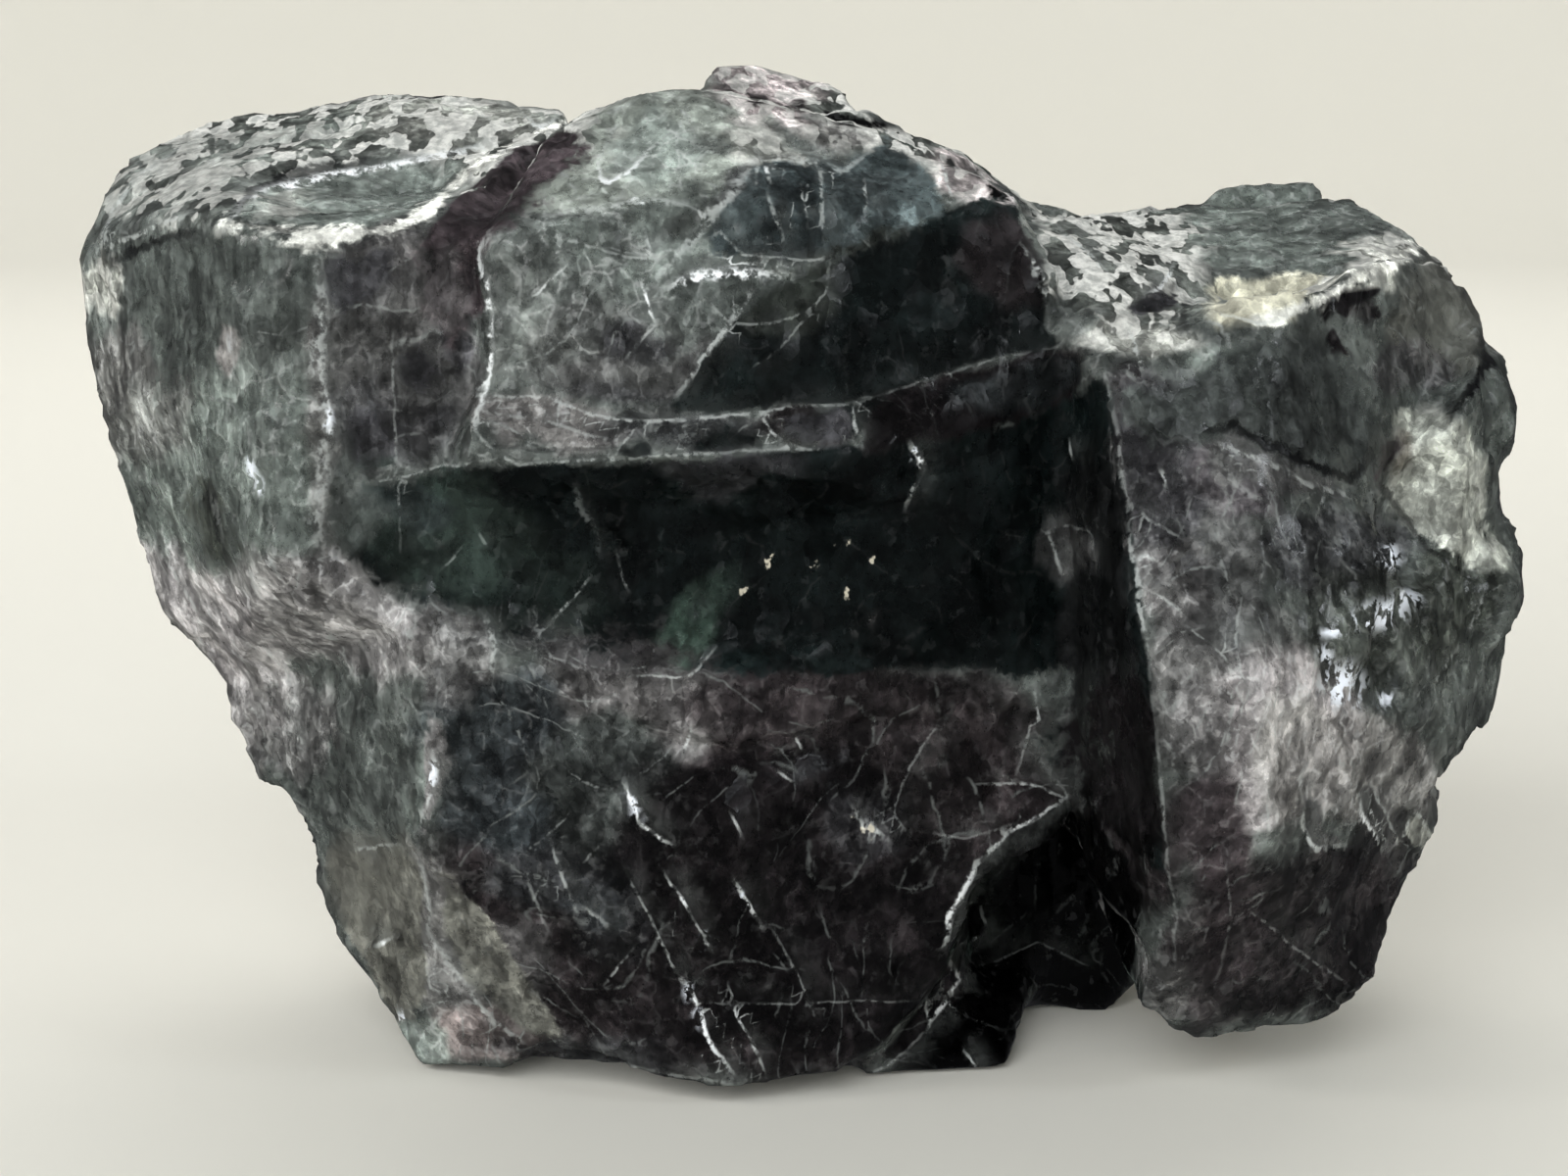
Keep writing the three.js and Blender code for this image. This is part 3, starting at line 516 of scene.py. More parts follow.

# Light lines and glints on the front, partly pale cracks, veils and broken rims, and partly painted
# highlights along lit edges and painted glints: half-width in mm, strength, and their points in the same
# picture.
LIGHT_LINES = [
    # The rim and the basin of the etched top
    (0.34, 1.0, [(228, 234), (249, 203), (277, 187), (341, 176), (400, 168), (460, 158), (500, 146)]),
    (0.20, 0.8, [(536, 118), (548, 132), (566, 120)]),
    (0.22, 0.7, [(106, 252), (144, 237), (190, 219)]),
    (0.20, 0.6, [(96, 262), (110, 222), (140, 178), (180, 152)]),
    # The pane's broken left edge
    (0.24, 0.9, [(500, 240), (488, 262), (496, 300), (501, 345), (500, 380), (493, 412), (485, 440)]),
    (0.12, 0.5, [(553, 200), (555, 240), (640, 260)]),
    (0.30, 0.5, [(555, 222), (600, 211), (665, 204), (705, 207)]),
    (0.18, 0.9, [(612, 160), (616, 187), (640, 174), (664, 150)]),
    (0.20, 0.6, [(640, 112), (622, 140), (614, 165)]),
    (0.20, 0.9, [(640, 196), (652, 206), (664, 206)]),
    (0.14, 0.8, [(716, 215), (724, 240)]),
    (0.14, 0.7, [(660, 246), (668, 264)]),
    (0.14, 0.9, [(655, 285), (662, 305), (668, 330)]),
    (0.12, 0.8, [(540, 305), (556, 290), (577, 270)]),
    (0.40, 0.6, [(772, 160), (752, 196), (728, 224), (700, 256), (664, 292)]),
    (0.40, 1.0, [(680, 291), (710, 281), (745, 278), (806, 283)]),
    (0.22, 0.7, [(768, 300), (745, 333), (718, 366), (690, 408)]),
    (0.16, 0.6, [(670, 330), (655, 345), (640, 365)]),
    (0.12, 0.5, [(560, 235), (600, 250), (640, 260), (690, 262)]),
    (0.12, 0.6, [(660, 238), (668, 262)]),
    (0.14, 0.5, [(725, 225), (760, 262), (820, 266), (845, 262)]),
    (0.12, 0.4, [(845, 268), (842, 300), (805, 345), (770, 372)]),
    (0.12, 0.4, [(722, 306), (745, 330), (790, 330), (830, 318)]),
    (0.16, 0.9, [(782, 165), (786, 182)]),
    (0.16, 0.6, [(786, 200), (797, 243)]),
    (0.14, 0.7, [(818, 192), (821, 223)]),
    (0.14, 0.8, [(882, 188), (884, 214)]),
    (0.16, 0.6, [(838, 168), (839, 240)]),
    (0.20, 0.6, [(772, 164), (800, 161), (836, 167), (862, 174), (884, 158)]),
    (0.14, 0.5, [(700, 110), (690, 150), (696, 190)]),
    # The ledge's rims
    (0.14, 0.6, [(485, 400), (560, 408), (600, 420), (655, 431), (720, 428), (790, 418), (870, 410)]),
    (0.12, 0.25, [(870, 410), (930, 392), (1010, 368), (1085, 352)]),
    (0.14, 0.5, [(485, 440), (505, 462), (530, 476), (600, 468), (700, 462), (780, 460)]),
    (0.12, 0.4, [(780, 460), (840, 458)]),
    (0.16, 0.4, [(492, 418), (560, 432), (630, 448)]),
    (0.14, 0.7, [(775, 420), (784, 440), (800, 455), (842, 460)]),
    (0.14, 0.7, [(866, 412), (872, 436), (880, 456)]),
    (0.12, 0.5, [(650, 436), (632, 458)]),
    (0.12, 0.4, [(690, 432), (712, 458)]),
    # The long hollow
    (0.12, 0.5, [(380, 490), (430, 482), (500, 470)]),
    (0.30, 0.30, [(588, 495), (592, 516), (606, 540), (612, 565)]),
    (0.14, 0.6, [(600, 590), (575, 622), (545, 652)]),
    (0.12, 0.4, [(640, 600), (628, 560)]),
    (0.24, 1.0, [(932, 455), (942, 474), (938, 486)]),
    (0.18, 0.6, [(938, 486), (930, 505), (926, 516)]),
    (0.12, 0.4, [(455, 575), (470, 560)]),
    (0.12, 0.4, [(490, 545), (500, 560)]),
    (0.16, 0.6, [(1072, 545), (1078, 560), (1086, 585)]),
    (0.12, 0.25, [(1072, 542), (1095, 537), (1114, 545), (1116, 575)]),
    (0.14, 0.7, [(1090, 452), (1092, 466)]),
    # Painted glints along splinters on the lower front
    (0.16, 0.9, [(706, 746), (700, 764)]),
    (0.14, 0.8, [(746, 832), (756, 850)]),
    (0.12, 0.8, [(812, 752), (820, 764)]),
    (0.14, 0.8, [(798, 788), (806, 794)]),
    (0.12, 0.7, [(868, 820), (880, 838)]),
    (0.18, 1.0, [(874, 826), (886, 852)]),
    (0.14, 0.9, [(890, 838), (898, 854)]),
    (0.20, 1.0, [(716, 952), (724, 968)]),
    (0.12, 0.6, [(620, 1000), (650, 965)]),
    (0.16, 0.8, [(1056, 712), (1062, 742)]),
    (0.14, 0.7, [(1000, 800), (1040, 798), (1082, 812)]),
    (0.12, 0.6, [(640, 690), (700, 690), (728, 662)]),
    (0.20, 1.0, [(638, 800), (648, 822), (655, 840)]),
    (0.16, 0.9, [(655, 840), (668, 852), (685, 862)]),
    (0.14, 0.9, [(683, 895), (695, 915), (705, 935)]),
    (0.12, 0.7, [(705, 935), (722, 962)]),
    (0.20, 0.9, [(750, 900), (764, 922), (778, 945)]),
    (0.12, 0.6, [(640, 890), (660, 930), (680, 970), (700, 1010)]),
    (0.20, 1.0, [(700, 1002), (712, 1030), (722, 1062), (745, 1090)]),
    (0.14, 0.8, [(745, 1010), (757, 1045), (780, 1094)]),
    (0.12, 0.6, [(662, 935), (678, 970), (694, 1000)]),
    (0.16, 0.6, [(560, 860), (575, 900), (590, 930)]),
    (0.14, 0.4, [(535, 890), (552, 930), (560, 950)]),
    (0.22, 0.4, [(585, 918), (612, 936), (625, 950)]),
    (0.12, 0.4, [(790, 950), (815, 1000), (830, 1040)]),
    (0.10, 0.35, [(710, 1023), (800, 1026), (900, 1022), (975, 1018)]),
    (0.14, 0.7, [(945, 1022), (950, 1050)]),
    (0.14, 0.7, [(984, 1074), (998, 1096)]),
    (0.16, 0.6, [(872, 832), (890, 842), (905, 856)]),
    (0.12, 0.4, [(905, 822), (925, 850)]),
    (0.12, 0.4, [(960, 735), (935, 775), (910, 830)]),
    (0.12, 0.4, [(1058, 700), (1050, 745), (1036, 790)]),
    # The lower front's broken right edge
    (0.20, 0.8, [(1085, 815), (1060, 832), (1030, 850), (1000, 880)]),
    (0.24, 1.0, [(1000, 880), (985, 905), (970, 930), (966, 965)]),
    (0.12, 0.5, [(1000, 926), (1006, 948), (990, 962), (966, 968)]),
    (0.20, 0.9, [(970, 975), (980, 1000), (960, 1030), (948, 1045)]),
    (0.12, 0.4, [(945, 1050), (910, 1086), (880, 1098)]),
    (0.12, 0.3, [(940, 850), (985, 855), (1040, 840)]),
    (0.10, 0.20, [(1000, 985), (1060, 960), (1110, 985)]),
    # The toe
    (0.24, 0.8, [(440, 770), (443, 790), (437, 815), (432, 845)]),
    (0.14, 0.5, [(365, 866), (405, 862)]),
    (0.22, 0.5, [(430, 880), (434, 915), (440, 955)]),
    (0.26, 0.6, [(440, 955), (462, 985), (484, 1015), (502, 1042)]),
    (0.16, 0.5, [(436, 985), (440, 1010), (455, 1016), (462, 1002)]),
    (0.18, 1.0, [(408, 1032), (414, 1046)]),
    (0.20, 0.9, [(384, 962), (396, 958)]),
    (0.22, 0.6, [(425, 1060), (440, 1050), (452, 1034)]),
    (0.18, 0.5, [(505, 1042), (532, 1062)]),
    (0.20, 0.4, [(425, 1086), (470, 1090), (520, 1088)]),
    (0.16, 0.4, [(560, 1078), (640, 1087), (700, 1100), (760, 1108)]),
    # The left flank
    (0.12, 0.35, [(401, 330), (404, 400), (403, 470), (407, 560)]),
    (0.55, 0.6, [(326, 262), (330, 320), (328, 380), (334, 430), (330, 490), (326, 560)]),
    (0.40, 0.9, [(331, 395), (336, 425), (333, 455)]),
    (0.18, 0.7, [(262, 470), (260, 500)]),
    (0.16, 0.6, [(234, 345), (240, 375), (232, 395)]),
    (0.16, 0.5, [(246, 455), (252, 470)]),
    (0.18, 0.5, [(216, 505), (222, 530), (226, 548)]),
    (0.14, 0.4, [(160, 560), (180, 585), (205, 640)]),
    (0.18, 0.8, [(252, 718), (262, 728)]),
    (0.18, 0.8, [(296, 745), (306, 756)]),
    (0.16, 0.6, [(275, 664), (282, 674)]),
    (0.14, 0.5, [(235, 652), (240, 664)]),
    (0.26, 0.7, [(498, 632), (506, 660), (502, 690)]),
    (0.12, 0.35, [(540, 640), (560, 668), (600, 684)]),
    # The right-hand mass
    (0.20, 0.45, [(1128, 382), (1136, 415), (1143, 450), (1148, 500), (1150, 540)]),
    (0.24, 0.70, [(1150, 540), (1158, 575), (1163, 620), (1170, 665)]),
    (0.16, 0.35, [(1170, 665), (1176, 730), (1184, 800), (1192, 880), (1202, 940), (1196, 985)]),
    (0.14, 0.5, [(1152, 511), (1172, 532), (1200, 548)]),
    (0.14, 0.6, [(1170, 605), (1186, 610), (1206, 622)]),
    (0.18, 0.9, [(1188, 482), (1190, 494)]),
    (0.18, 0.8, [(1168, 562), (1176, 570)]),
    (0.12, 0.5, [(1215, 640), (1250, 670), (1268, 720)]),
    (0.14, 0.5, [(1268, 610), (1262, 660), (1270, 700), (1262, 760)]),
    (0.20, 0.8, [(1329, 812), (1331, 846), (1343, 866), (1368, 861)]),
    (0.20, 0.9, [(1386, 806), (1394, 840), (1408, 866)]),
    (0.14, 0.6, [(1400, 800), (1414, 832), (1426, 864)]),
    (0.16, 0.7, [(1425, 862), (1436, 836), (1446, 830), (1458, 852)]),
    (0.18, 0.8, [(1330, 790), (1326, 815)]),
    (0.12, 0.4, [(1275, 930), (1320, 965), (1370, 1000)]),
    (0.12, 0.3, [(1250, 880), (1256, 940), (1240, 1000)]),
    (0.22, 0.8, [(1150, 1015), (1164, 1022), (1160, 1036)]),
    (0.26, 0.35, [(1245, 462), (1262, 490), (1300, 520)]),
    (0.22, 0.6, [(1248, 453), (1285, 466), (1330, 492), (1380, 506)]),
    (0.14, 0.5, [(1462, 700), (1486, 660)]),
    (0.16, 0.5, [(1500, 640), (1512, 610)]),
    # The saddle and the shoulder
    (0.18, 0.8, [(1046, 250), (1062, 275), (1072, 300)]),
    (0.16, 0.7, [(1080, 232), (1102, 250), (1130, 278)]),
    (0.20, 0.9, [(1170, 300), (1184, 290), (1196, 272)]),
    (0.16, 0.6, [(1092, 345), (1110, 336)]),
    (0.22, 0.6, [(1150, 340), (1160, 360), (1166, 378)]),
    (0.16, 0.6, [(1244, 320), (1290, 330), (1320, 322)]),
    # The crest
    (0.14, 0.7, [(960, 165), (966, 190), (972, 212)]),
    (0.14, 0.6, [(1048, 258), (1060, 290), (1068, 312)]),
]

# Dark lines: cracks, and painted shadow lines along sharp steps, under rims and in the creases between lumps.
DARK_LINES = [
    (0.30, 0.8, [(234, 224), (256, 196), (284, 180), (345, 168), (420, 158)]),
    (0.35, 0.4, [(300, 252), (350, 256), (400, 252)]),
    (0.30, 0.8, [(110, 268), (150, 250), (200, 236)]),
    (0.36, 1.0, [(1512, 352), (1518, 372), (1500, 398), (1476, 420)]),
    (0.34, 0.9, [(1228, 440), (1262, 437), (1299, 456), (1345, 477), (1378, 487), (1404, 460)]),
    (0.20, 0.7, [(1404, 492), (1420, 510), (1460, 560), (1500, 590)]),
    (0.30, 0.6, [(478, 262), (484, 300), (492, 345), (492, 382), (484, 412)]),
    (0.26, 0.8, [(304, 806), (316, 816)]),
    (0.30, 0.5, [(1138, 400), (1140, 470), (1150, 560)]),
    (0.20, 0.5, [(1345, 860), (1374, 872)]),
    (0.26, 0.6, [(215, 500), (218, 524), (225, 545)]),
    (0.30, 0.8, [(1210, 306), (1206, 330)]),
    (0.16, 0.5, [(500, 456), (560, 460), (640, 452)]),
    (0.24, 0.7, [(270, 226), (292, 238)]),
    (0.18, 0.6, [(240, 222), (262, 232)]),
]

# Painted glints: spots painted bright where small faces would catch the light. The middle, the half-widths in
# mm, and any tilt.
PAINTED_COOL_GLINTS = [
    ((1408, 628), (3.2, 1.4), -12),
    ((1372, 700), (2.2, 2.2), -30),
    ((1420, 568), (1.0, 1.3)),
    ((257, 480), (0.5, 1.2), -20),
    ((265, 497), (0.4, 0.7), 10),
    ((335, 432), (0.4, 1.2)),
    ((1436, 610), (1.4, 0.9)),
    ((1352, 668), (0.7, 0.7)),
    ((1360, 646), (1.6, 0.5), -10),
    ((1414, 714), (0.8, 0.9)),
    ((441, 792), (0.35, 1.5), 8),
    ((235, 352), (0.25, 0.9)),
    ((648, 822), (0.35, 1.5), -28),
    ((703, 1012), (0.4, 1.0), -20),
    ((712, 1040), (0.45, 1.1), -20),
    ((762, 920), (0.3, 1.5), -30),
    ((720, 960), (0.4, 0.8), -30),
    ((934, 462), (0.4, 0.9), -20),
    ((411, 1040), (0.3, 0.8), -20),
]
# Painted warm glints, as of a warm lamp mirrored in small faces.
PAINTED_WARM_GLINTS = [
    ((874, 836), (0.5, 0.8), -40),
    ((884, 849), (0.5, 0.9), -35),
    ((892, 846), (0.5, 0.8), -40),
    ((758, 555), (0.5, 0.5)),
    ((785, 572), (0.5, 1.1), 30),
    ((776, 581), (0.7, 0.5)),
    ((825, 582), (0.5, 0.8), 25),
    ((839, 574), (0.5, 0.5)),
    ((858, 555), (0.9, 0.5), 15),
    ((887, 573), (0.5, 0.6), -30),
    ((863, 608), (0.5, 0.7), -30),
    ((757, 601), (0.5, 0.7)),
]


# The picture that the camera frames

def picture(points):
    """Where points in mm appear in the camera's picture, in pixels of its frame."""
    seen = points - EYE
    depth = seen @ AHEAD
    across = FRAME_PX[0] / 2 + FOCAL_PX * seen[:, 0] / depth
    down = FRAME_PX[1] / 2 - FOCAL_PX * (seen @ UPRIGHT) / depth
    return np.stack([across, down], axis=1)


def wander(points, size, reach, seed, octaves=3):
    """A sideways shift of that reach in pixels, which varies over the stone in lumps of that size in mm."""
    shift = [fractal(points, size, seed + 4 * k, octaves) for k in range(2)]
    return np.stack(shift, axis=1) * reach


def in_ellipse(places, middle, half, tilt=0.0):
    """Distance from an ellipse's middle, 1 on its rim."""
    turn = math.radians(tilt)
    dx = places[:, 0] - middle[0]
    dy = places[:, 1] - middle[1]
    along = (dx * math.cos(turn) + dy * math.sin(turn)) / half[0]
    across = (dy * math.cos(turn) - dx * math.sin(turn)) / half[1]
    return np.hypot(along, across)


# The stone's fine mesh

def fine_copy(node):
    """A copy of a CAD node's mesh, remeshed finely and evenly."""
    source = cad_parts[node]
    mesh = source.data.copy()
    mesh.transform(source.matrix_world)
    stone = bpy.data.objects.new("fluorite_stone", mesh)
    bpy.context.collection.objects.link(stone)
    remesh = stone.modifiers.new("remesh", "REMESH")
    remesh.mode = "VOXEL"
    remesh.voxel_size = FINE_EDGE * MM
    remesh.adaptivity = 0.0
    smooth = stone.modifiers.new("smooth", "SMOOTH")
    smooth.factor = 0.5
    smooth.iterations = 2
    bpy.context.view_layer.objects.active = stone
    for modifier in (remesh.name, smooth.name):
        with bpy.context.temp_override(object=stone):
            bpy.ops.object.modifier_apply(modifier=modifier)
    return stone


def read_points(mesh):
    points = np.empty(len(mesh.vertices) * 3)
    mesh.vertices.foreach_get("co", points)
    return points.reshape(-1, 3) / MM


def read_normals(mesh):
    normals = np.empty(len(mesh.vertices) * 3)
    mesh.vertex_normals.foreach_get("vector", normals)
    return normals.reshape(-1, 3)


def write_points(mesh, points):
    mesh.vertices.foreach_set("co", (points * MM).ravel())
    mesh.update()


def neighbour_mean(mesh, values):
    """The mean of each vertex's neighbours' values."""
    edges = np.empty(len(mesh.edges) * 2, dtype=np.int32)
    mesh.edges.foreach_get("vertices", edges)
    a, b = edges.reshape(-1, 2).T
    here, there = np.concatenate([a, b]), np.concatenate([b, a])
    count = np.bincount(here, minlength=len(values))
    total = [np.bincount(here, weights=column[there], minlength=len(values)) for column in values.T]
    return np.stack(total, axis=1) / np.maximum(count, 1)[:, None]


# Painting. A row of paint is red, green, blue, and then these columns.
CLEAR, ROUGH, MOTTLE, WISPS, CRUST = range(3, 8)
DISPLAY_GAMMA = 2.2
LIGHTEST = 0.8

# How borders wander: the size of the lumps in mm, the reach in pixels, and the seed.
PATCH_WANDER = (7.0, 22.0, 51)
LINE_WANDER = (4.0, 4.0, 21)

# Cloudy brightness and its blocks are a little taller than wide.
TALLER = (1.0, 1.0, 0.7)

# The back's bands: their paints from below, their thickness in mm, and the way that they are stacked.
BANDS = ["ink", "slate", "bottle", "smoke", "plum", "smoke", "dusk", "moss", "lilac", "bottle", "umber"]
BAND_THICKNESS = 5.5
BAND_TILT = (0.35, 0.2, 0.92)

# The most that a zone's cover counts, in units of its border's softness.
COVER_LIMIT = 6.0

# Lines: how far from one its strength and its veil reach, in mm.
NEAR_LINE = 0.8
LINE_FADE = 0.4
VEIL_WIDTH = 2.6


def paint_row(name):
    """A paint's numbers. Light that passes into the crystal is lost, so its base is lighter than its look."""
    paint = PAINTS[name]
    linear = (np.array(paint.rgb) / 255.0) ** DISPLAY_GAMMA
    base = np.minimum(linear / (1.0 - paint.clear), LIGHTEST)
    return np.array([*base, paint.clear, paint.rough, paint.mottle, paint.wisps, paint.crust])


def lay_on(painted, paint, cover):
    """Paint over other paint, by each point's cover from 0 to 1."""
    cover = cover[:, None]
    return painted * (1 - cover) + paint * cover


def back_paint(points, normals):
    """The stone's own banding, for the sides that the picture doesn't show."""
    tilt = unit(np.array([BAND_TILT]))[0]
    height = points @ tilt + 5.0 * fractal(points, size=26.0, seed=31)
    height += 1.5 * noise(points, size=7.0, seed=35)
    step = height / BAND_THICKNESS
    low = np.floor(step).astype(int)
    rows = np.stack([paint_row(name) for name in BANDS])
    bands = lay_on(rows[low % len(BANDS)], rows[(low + 1) % len(BANDS)], smoothstep(0.35, 0.65, step - low))
    cloud = smoothstep(0.15, 0.6, fractal(points, size=15.0, seed=38)) * 0.6
    skin = smoothstep(0.35, 0.75, normals[:, 2]) * smoothstep(58.0, 66.0, points[:, 2])
    skin = skin * smoothstep(-0.5, 0.1, noise(points, size=12.0, seed=41))
    return lay_on(lay_on(bands, paint_row("haze"), cloud), paint_row("crust"), skin)


def paint_front(points, places, painted, patches):
    """The ground paint of the front, with the soft patches on it."""
    fray = np.stack([noise(points, size=1.5, seed=59), noise(points, size=1.5, seed=60)], axis=1) * 9.0
    warped = places + wander(points, *PATCH_WANDER, octaves=4) + fray
    for name, middle, half, strength, *tilt in patches:
        soft = 0.10 + 3.0 / min(half)
        cover = strength * smoothstep(1.0 + soft, 1.0 - soft, in_ellipse(warped, middle, half, *tilt))
        painted = lay_on(painted, paint_row(name), cover)
    return painted


def weather(points, paint):
    """Cloudy brightness, and blocks that catch the light differently."""
    _, _, _, blocks = shards(points @ CRYSTAL_FRAME.T * TALLER, size=4.5, seed=44)
    clouds = fractal(points * TALLER, size=5.5, seed=47, octaves=4)
    uneven = clouds + 0.45 * (blocks[:, 0] - 0.5)
    paint[:, :3] *= np.exp2(paint[:, MOTTLE] * uneven * 1.5)[:, None]
    return paint


def zone_cover(places):
    """How deep in the nearest zone a point lies, in units of its border's softness, and which zone."""
    cover = np.full(len(places), -10.0 * COVER_LIMIT)
    zone = np.zeros(len(places), dtype=int)
    for number, (_, usual, corners) in enumerate(ZONES):
        inside = np.zeros(len(places), dtype=bool)
        nearest = np.full(len(places), FAR)
        softness = np.ones(len(places))
        corners = [(*corner, usual)[:3] for corner in corners]
        for (ax, ay, a_soft), (bx, by, b_soft) in zip(corners, corners[1:] + corners[:1]):
            start = np.array([ax, ay], float)
            along = np.array([bx - ax, by - ay], float)
            share = np.clip((places - start) @ along / (along @ along), 0.0, 1.0)
            far = np.linalg.norm(places - start - share[:, None] * along, axis=1) / PX_PER_MM
            softness = np.where(far < nearest, a_soft + share * (b_soft - a_soft), softness)
            nearest = np.minimum(nearest, far)
            crossed = (places[:, 1] > min(ay, by)) & (places[:, 1] <= max(ay, by))
            if ay != by:
                inside ^= crossed & (places[:, 0] < ax + (places[:, 1] - ay) * (bx - ax) / (by - ay))
        here = np.where(inside, nearest, -nearest) / softness
        zone = np.where(here > cover, number, zone)
        cover = np.maximum(cover, here)
    return np.clip(cover, -COVER_LIMIT, COVER_LIMIT), zone


def paint_stone(points, normals, front):
    """The paint of every point, and the paint of the zone nearest to it."""
    places = picture(points)
    ground = np.tile(paint_row("slate"), (len(points), 1))
    paint = lay_on(back_paint(points, normals), paint_front(points, places, ground, PATCHES), front)
    _, zone = zone_cover(places)
    zone_ground = np.stack([paint_row(name) for name, *_ in ZONES])[zone]
    zone_paint = paint_front(points, places, zone_ground, ZONE_PATCHES)
    return weather(points, paint), weather(points, zone_paint)


def streaks(places):
    strength = np.zeros(len(places))
    for middle, half, power, *tilt in STREAKED:
        strength = np.maximum(strength, power * smoothstep(1.2, 0.7, in_ellipse(places, middle, half, *tilt)))
    return strength


# Painted glints: how strongly each point lies within one of the listed spots.
def painted_glints(places, drawn):
    glow = np.zeros(len(places))
    for middle, half, *tilt in drawn:
        half = [size * PX_PER_MM for size in half]
        glow = np.maximum(glow, smoothstep(1.2, 0.4, in_ellipse(places, middle, half, *tilt)))
    return glow


def lines(places, drawn):
    """The nearest line's signed distance in its half-widths, its strength there, and the veil on one side."""
    nearest = np.full(len(places), FAR)
    signed, strength, width = np.zeros((3, len(places)))
    for half_width, power, points in drawn:
        points = np.array(points, float)
        count = len(points) - 1
        for k, (start, end) in enumerate(zip(points, points[1:])):
            length = np.linalg.norm(end - start)
            along = (end - start) / length
            offset = places - start
            run = np.clip(offset @ along, 0.0, length)
            side = (offset[:, 0] * along[1] - offset[:, 1] * along[0]) / PX_PER_MM
            far = np.linalg.norm(offset - run[:, None] * along, axis=1) / PX_PER_MM
            total = (k + run / length) / count
            taper = np.sqrt(np.clip(4.0 * total * (1.0 - total), 0.0, 1.0)) * 0.6 + 0.4
            ends = smoothstep(0.5, 0.0, far - np.abs(side))
            nearer = far < nearest
            nearest = np.where(nearer, far, nearest)
            signed = np.where(nearer, side, signed)
            strength = np.where(nearer, power * taper * ends, strength)
            width = np.where(nearer, half_width, width)
    veil = strength * smoothstep(-0.2, 0.3, signed) * smoothstep(VEIL_WIDTH, 0.0, nearest)
    strength = strength * smoothstep(NEAR_LINE + LINE_FADE, NEAR_LINE, nearest)
    return signed / width, strength, veil


# Relief, in mm. Shards: their size, slant and seed. Cleavage steps: their height and seed.
SHARDS = ((8.0, 0.06, 61), (3.0, 0.05, 71))
STEPS = ((0.9, 91), (0.4, 95))
ISLAND_SIZE, ISLAND_RISE = 2.0, 0.28

# Where the right-hand foot is worn, in mm: from none at the first number to fully at the second.
WORN_HEIGHT, WORN_LEFT, WORN_RIGHT = (16.0, 9.0), (2.0, 6.0), (24.0, 19.0)
WEAR_PASSES = 70

# The relief fades in between these heights above the flat underside, in mm.
FLAT_EDGE = (0.4, 4.0)

# The front fades out as faces turn from the eye: the cosines where it is gone and where it is full.
FRONT_EDGE = (-0.02, 0.16)
BACK_STREAKS = 0.3


def wear_foot(mesh, points):
    """Rounds the broken corners of the right-hand foot."""
    worn = smoothstep(*WORN_HEIGHT, points[:, 2]) * smoothstep(*WORN_LEFT, points[:, 0])
    worn *= smoothstep(*WORN_RIGHT, points[:, 0])
    worn = (worn * (0.5 + 0.2 * noise(points, size=6.0, seed=17)))[:, None]
    for _ in range(WEAR_PASSES):
        points = points + (neighbour_mean(mesh, points) - points) * worn
    return points


def relief(points, normals, paint):
    """Moves the fine mesh's points."""
    clear, rough, crust = paint[:, CLEAR], paint[:, ROUGH], paint[:, CRUST]
    foot = smoothstep(*FLAT_EDGE, points[:, 2])
    lift = np.zeros(len(points))

    # Broad shards with slightly slanted faces.
    for size, slant, seed in SHARDS:
        _, _, way, random = shards(points, size, seed)
        lift -= slant * np.sum(way * (random - 0.5) * 2.0, axis=1) * (1.0 - 0.5 * crust)

    # The crust is knobbly, with islands that stand proud.
    first, second, _, _ = shards(points, ISLAND_SIZE, seed=81)
    lift += crust * ISLAND_RISE * smoothstep(0.0, 1.2, second - first)
    lift += (0.03 + 0.16 * rough) * fractal(points, size=1.7, seed=85)
    lift += 0.20 * fractal(points, size=5.0, seed=88)
    moved = points + normals * (lift * foot)[:, None]

    # Steps along the cleavage planes.
    for k, axis in enumerate(CLEAVAGES):
        facing = smoothstep(0.62, 0.9, np.abs(normals @ axis))
        share = facing * (0.4 + 0.6 * clear) * (1.0 - crust)
        for step, seed in STEPS:
            level = (moved @ axis + 0.3 * noise(points, size=9.0, seed=seed + k)) / step
            part = level - np.floor(level)
            to_step = step * (smoothstep(0.3, 0.7, part) - part)
            patchy = smoothstep(0.0, 0.5, noise(points, size=10.0, seed=seed + 4 * k))
            moved += axis * (0.6 * to_step * share * patchy * foot)[:, None]
    return moved


def keep_in_box(points, box):
    low, high = (np.array(corner) / MM for corner in box)
    return np.clip(points, low, high)


def store(mesh, name, *columns):
    """Keeps up to four numbers for each point, as a colour that the material reads."""
    rows = np.zeros((len(mesh.vertices), 4))
    rows[:, :len(columns)] = np.stack(columns, axis=1)
    attribute = mesh.attributes.new(name, "FLOAT_COLOR", "POINT")
    attribute.data.foreach_set("color", rows.ravel())


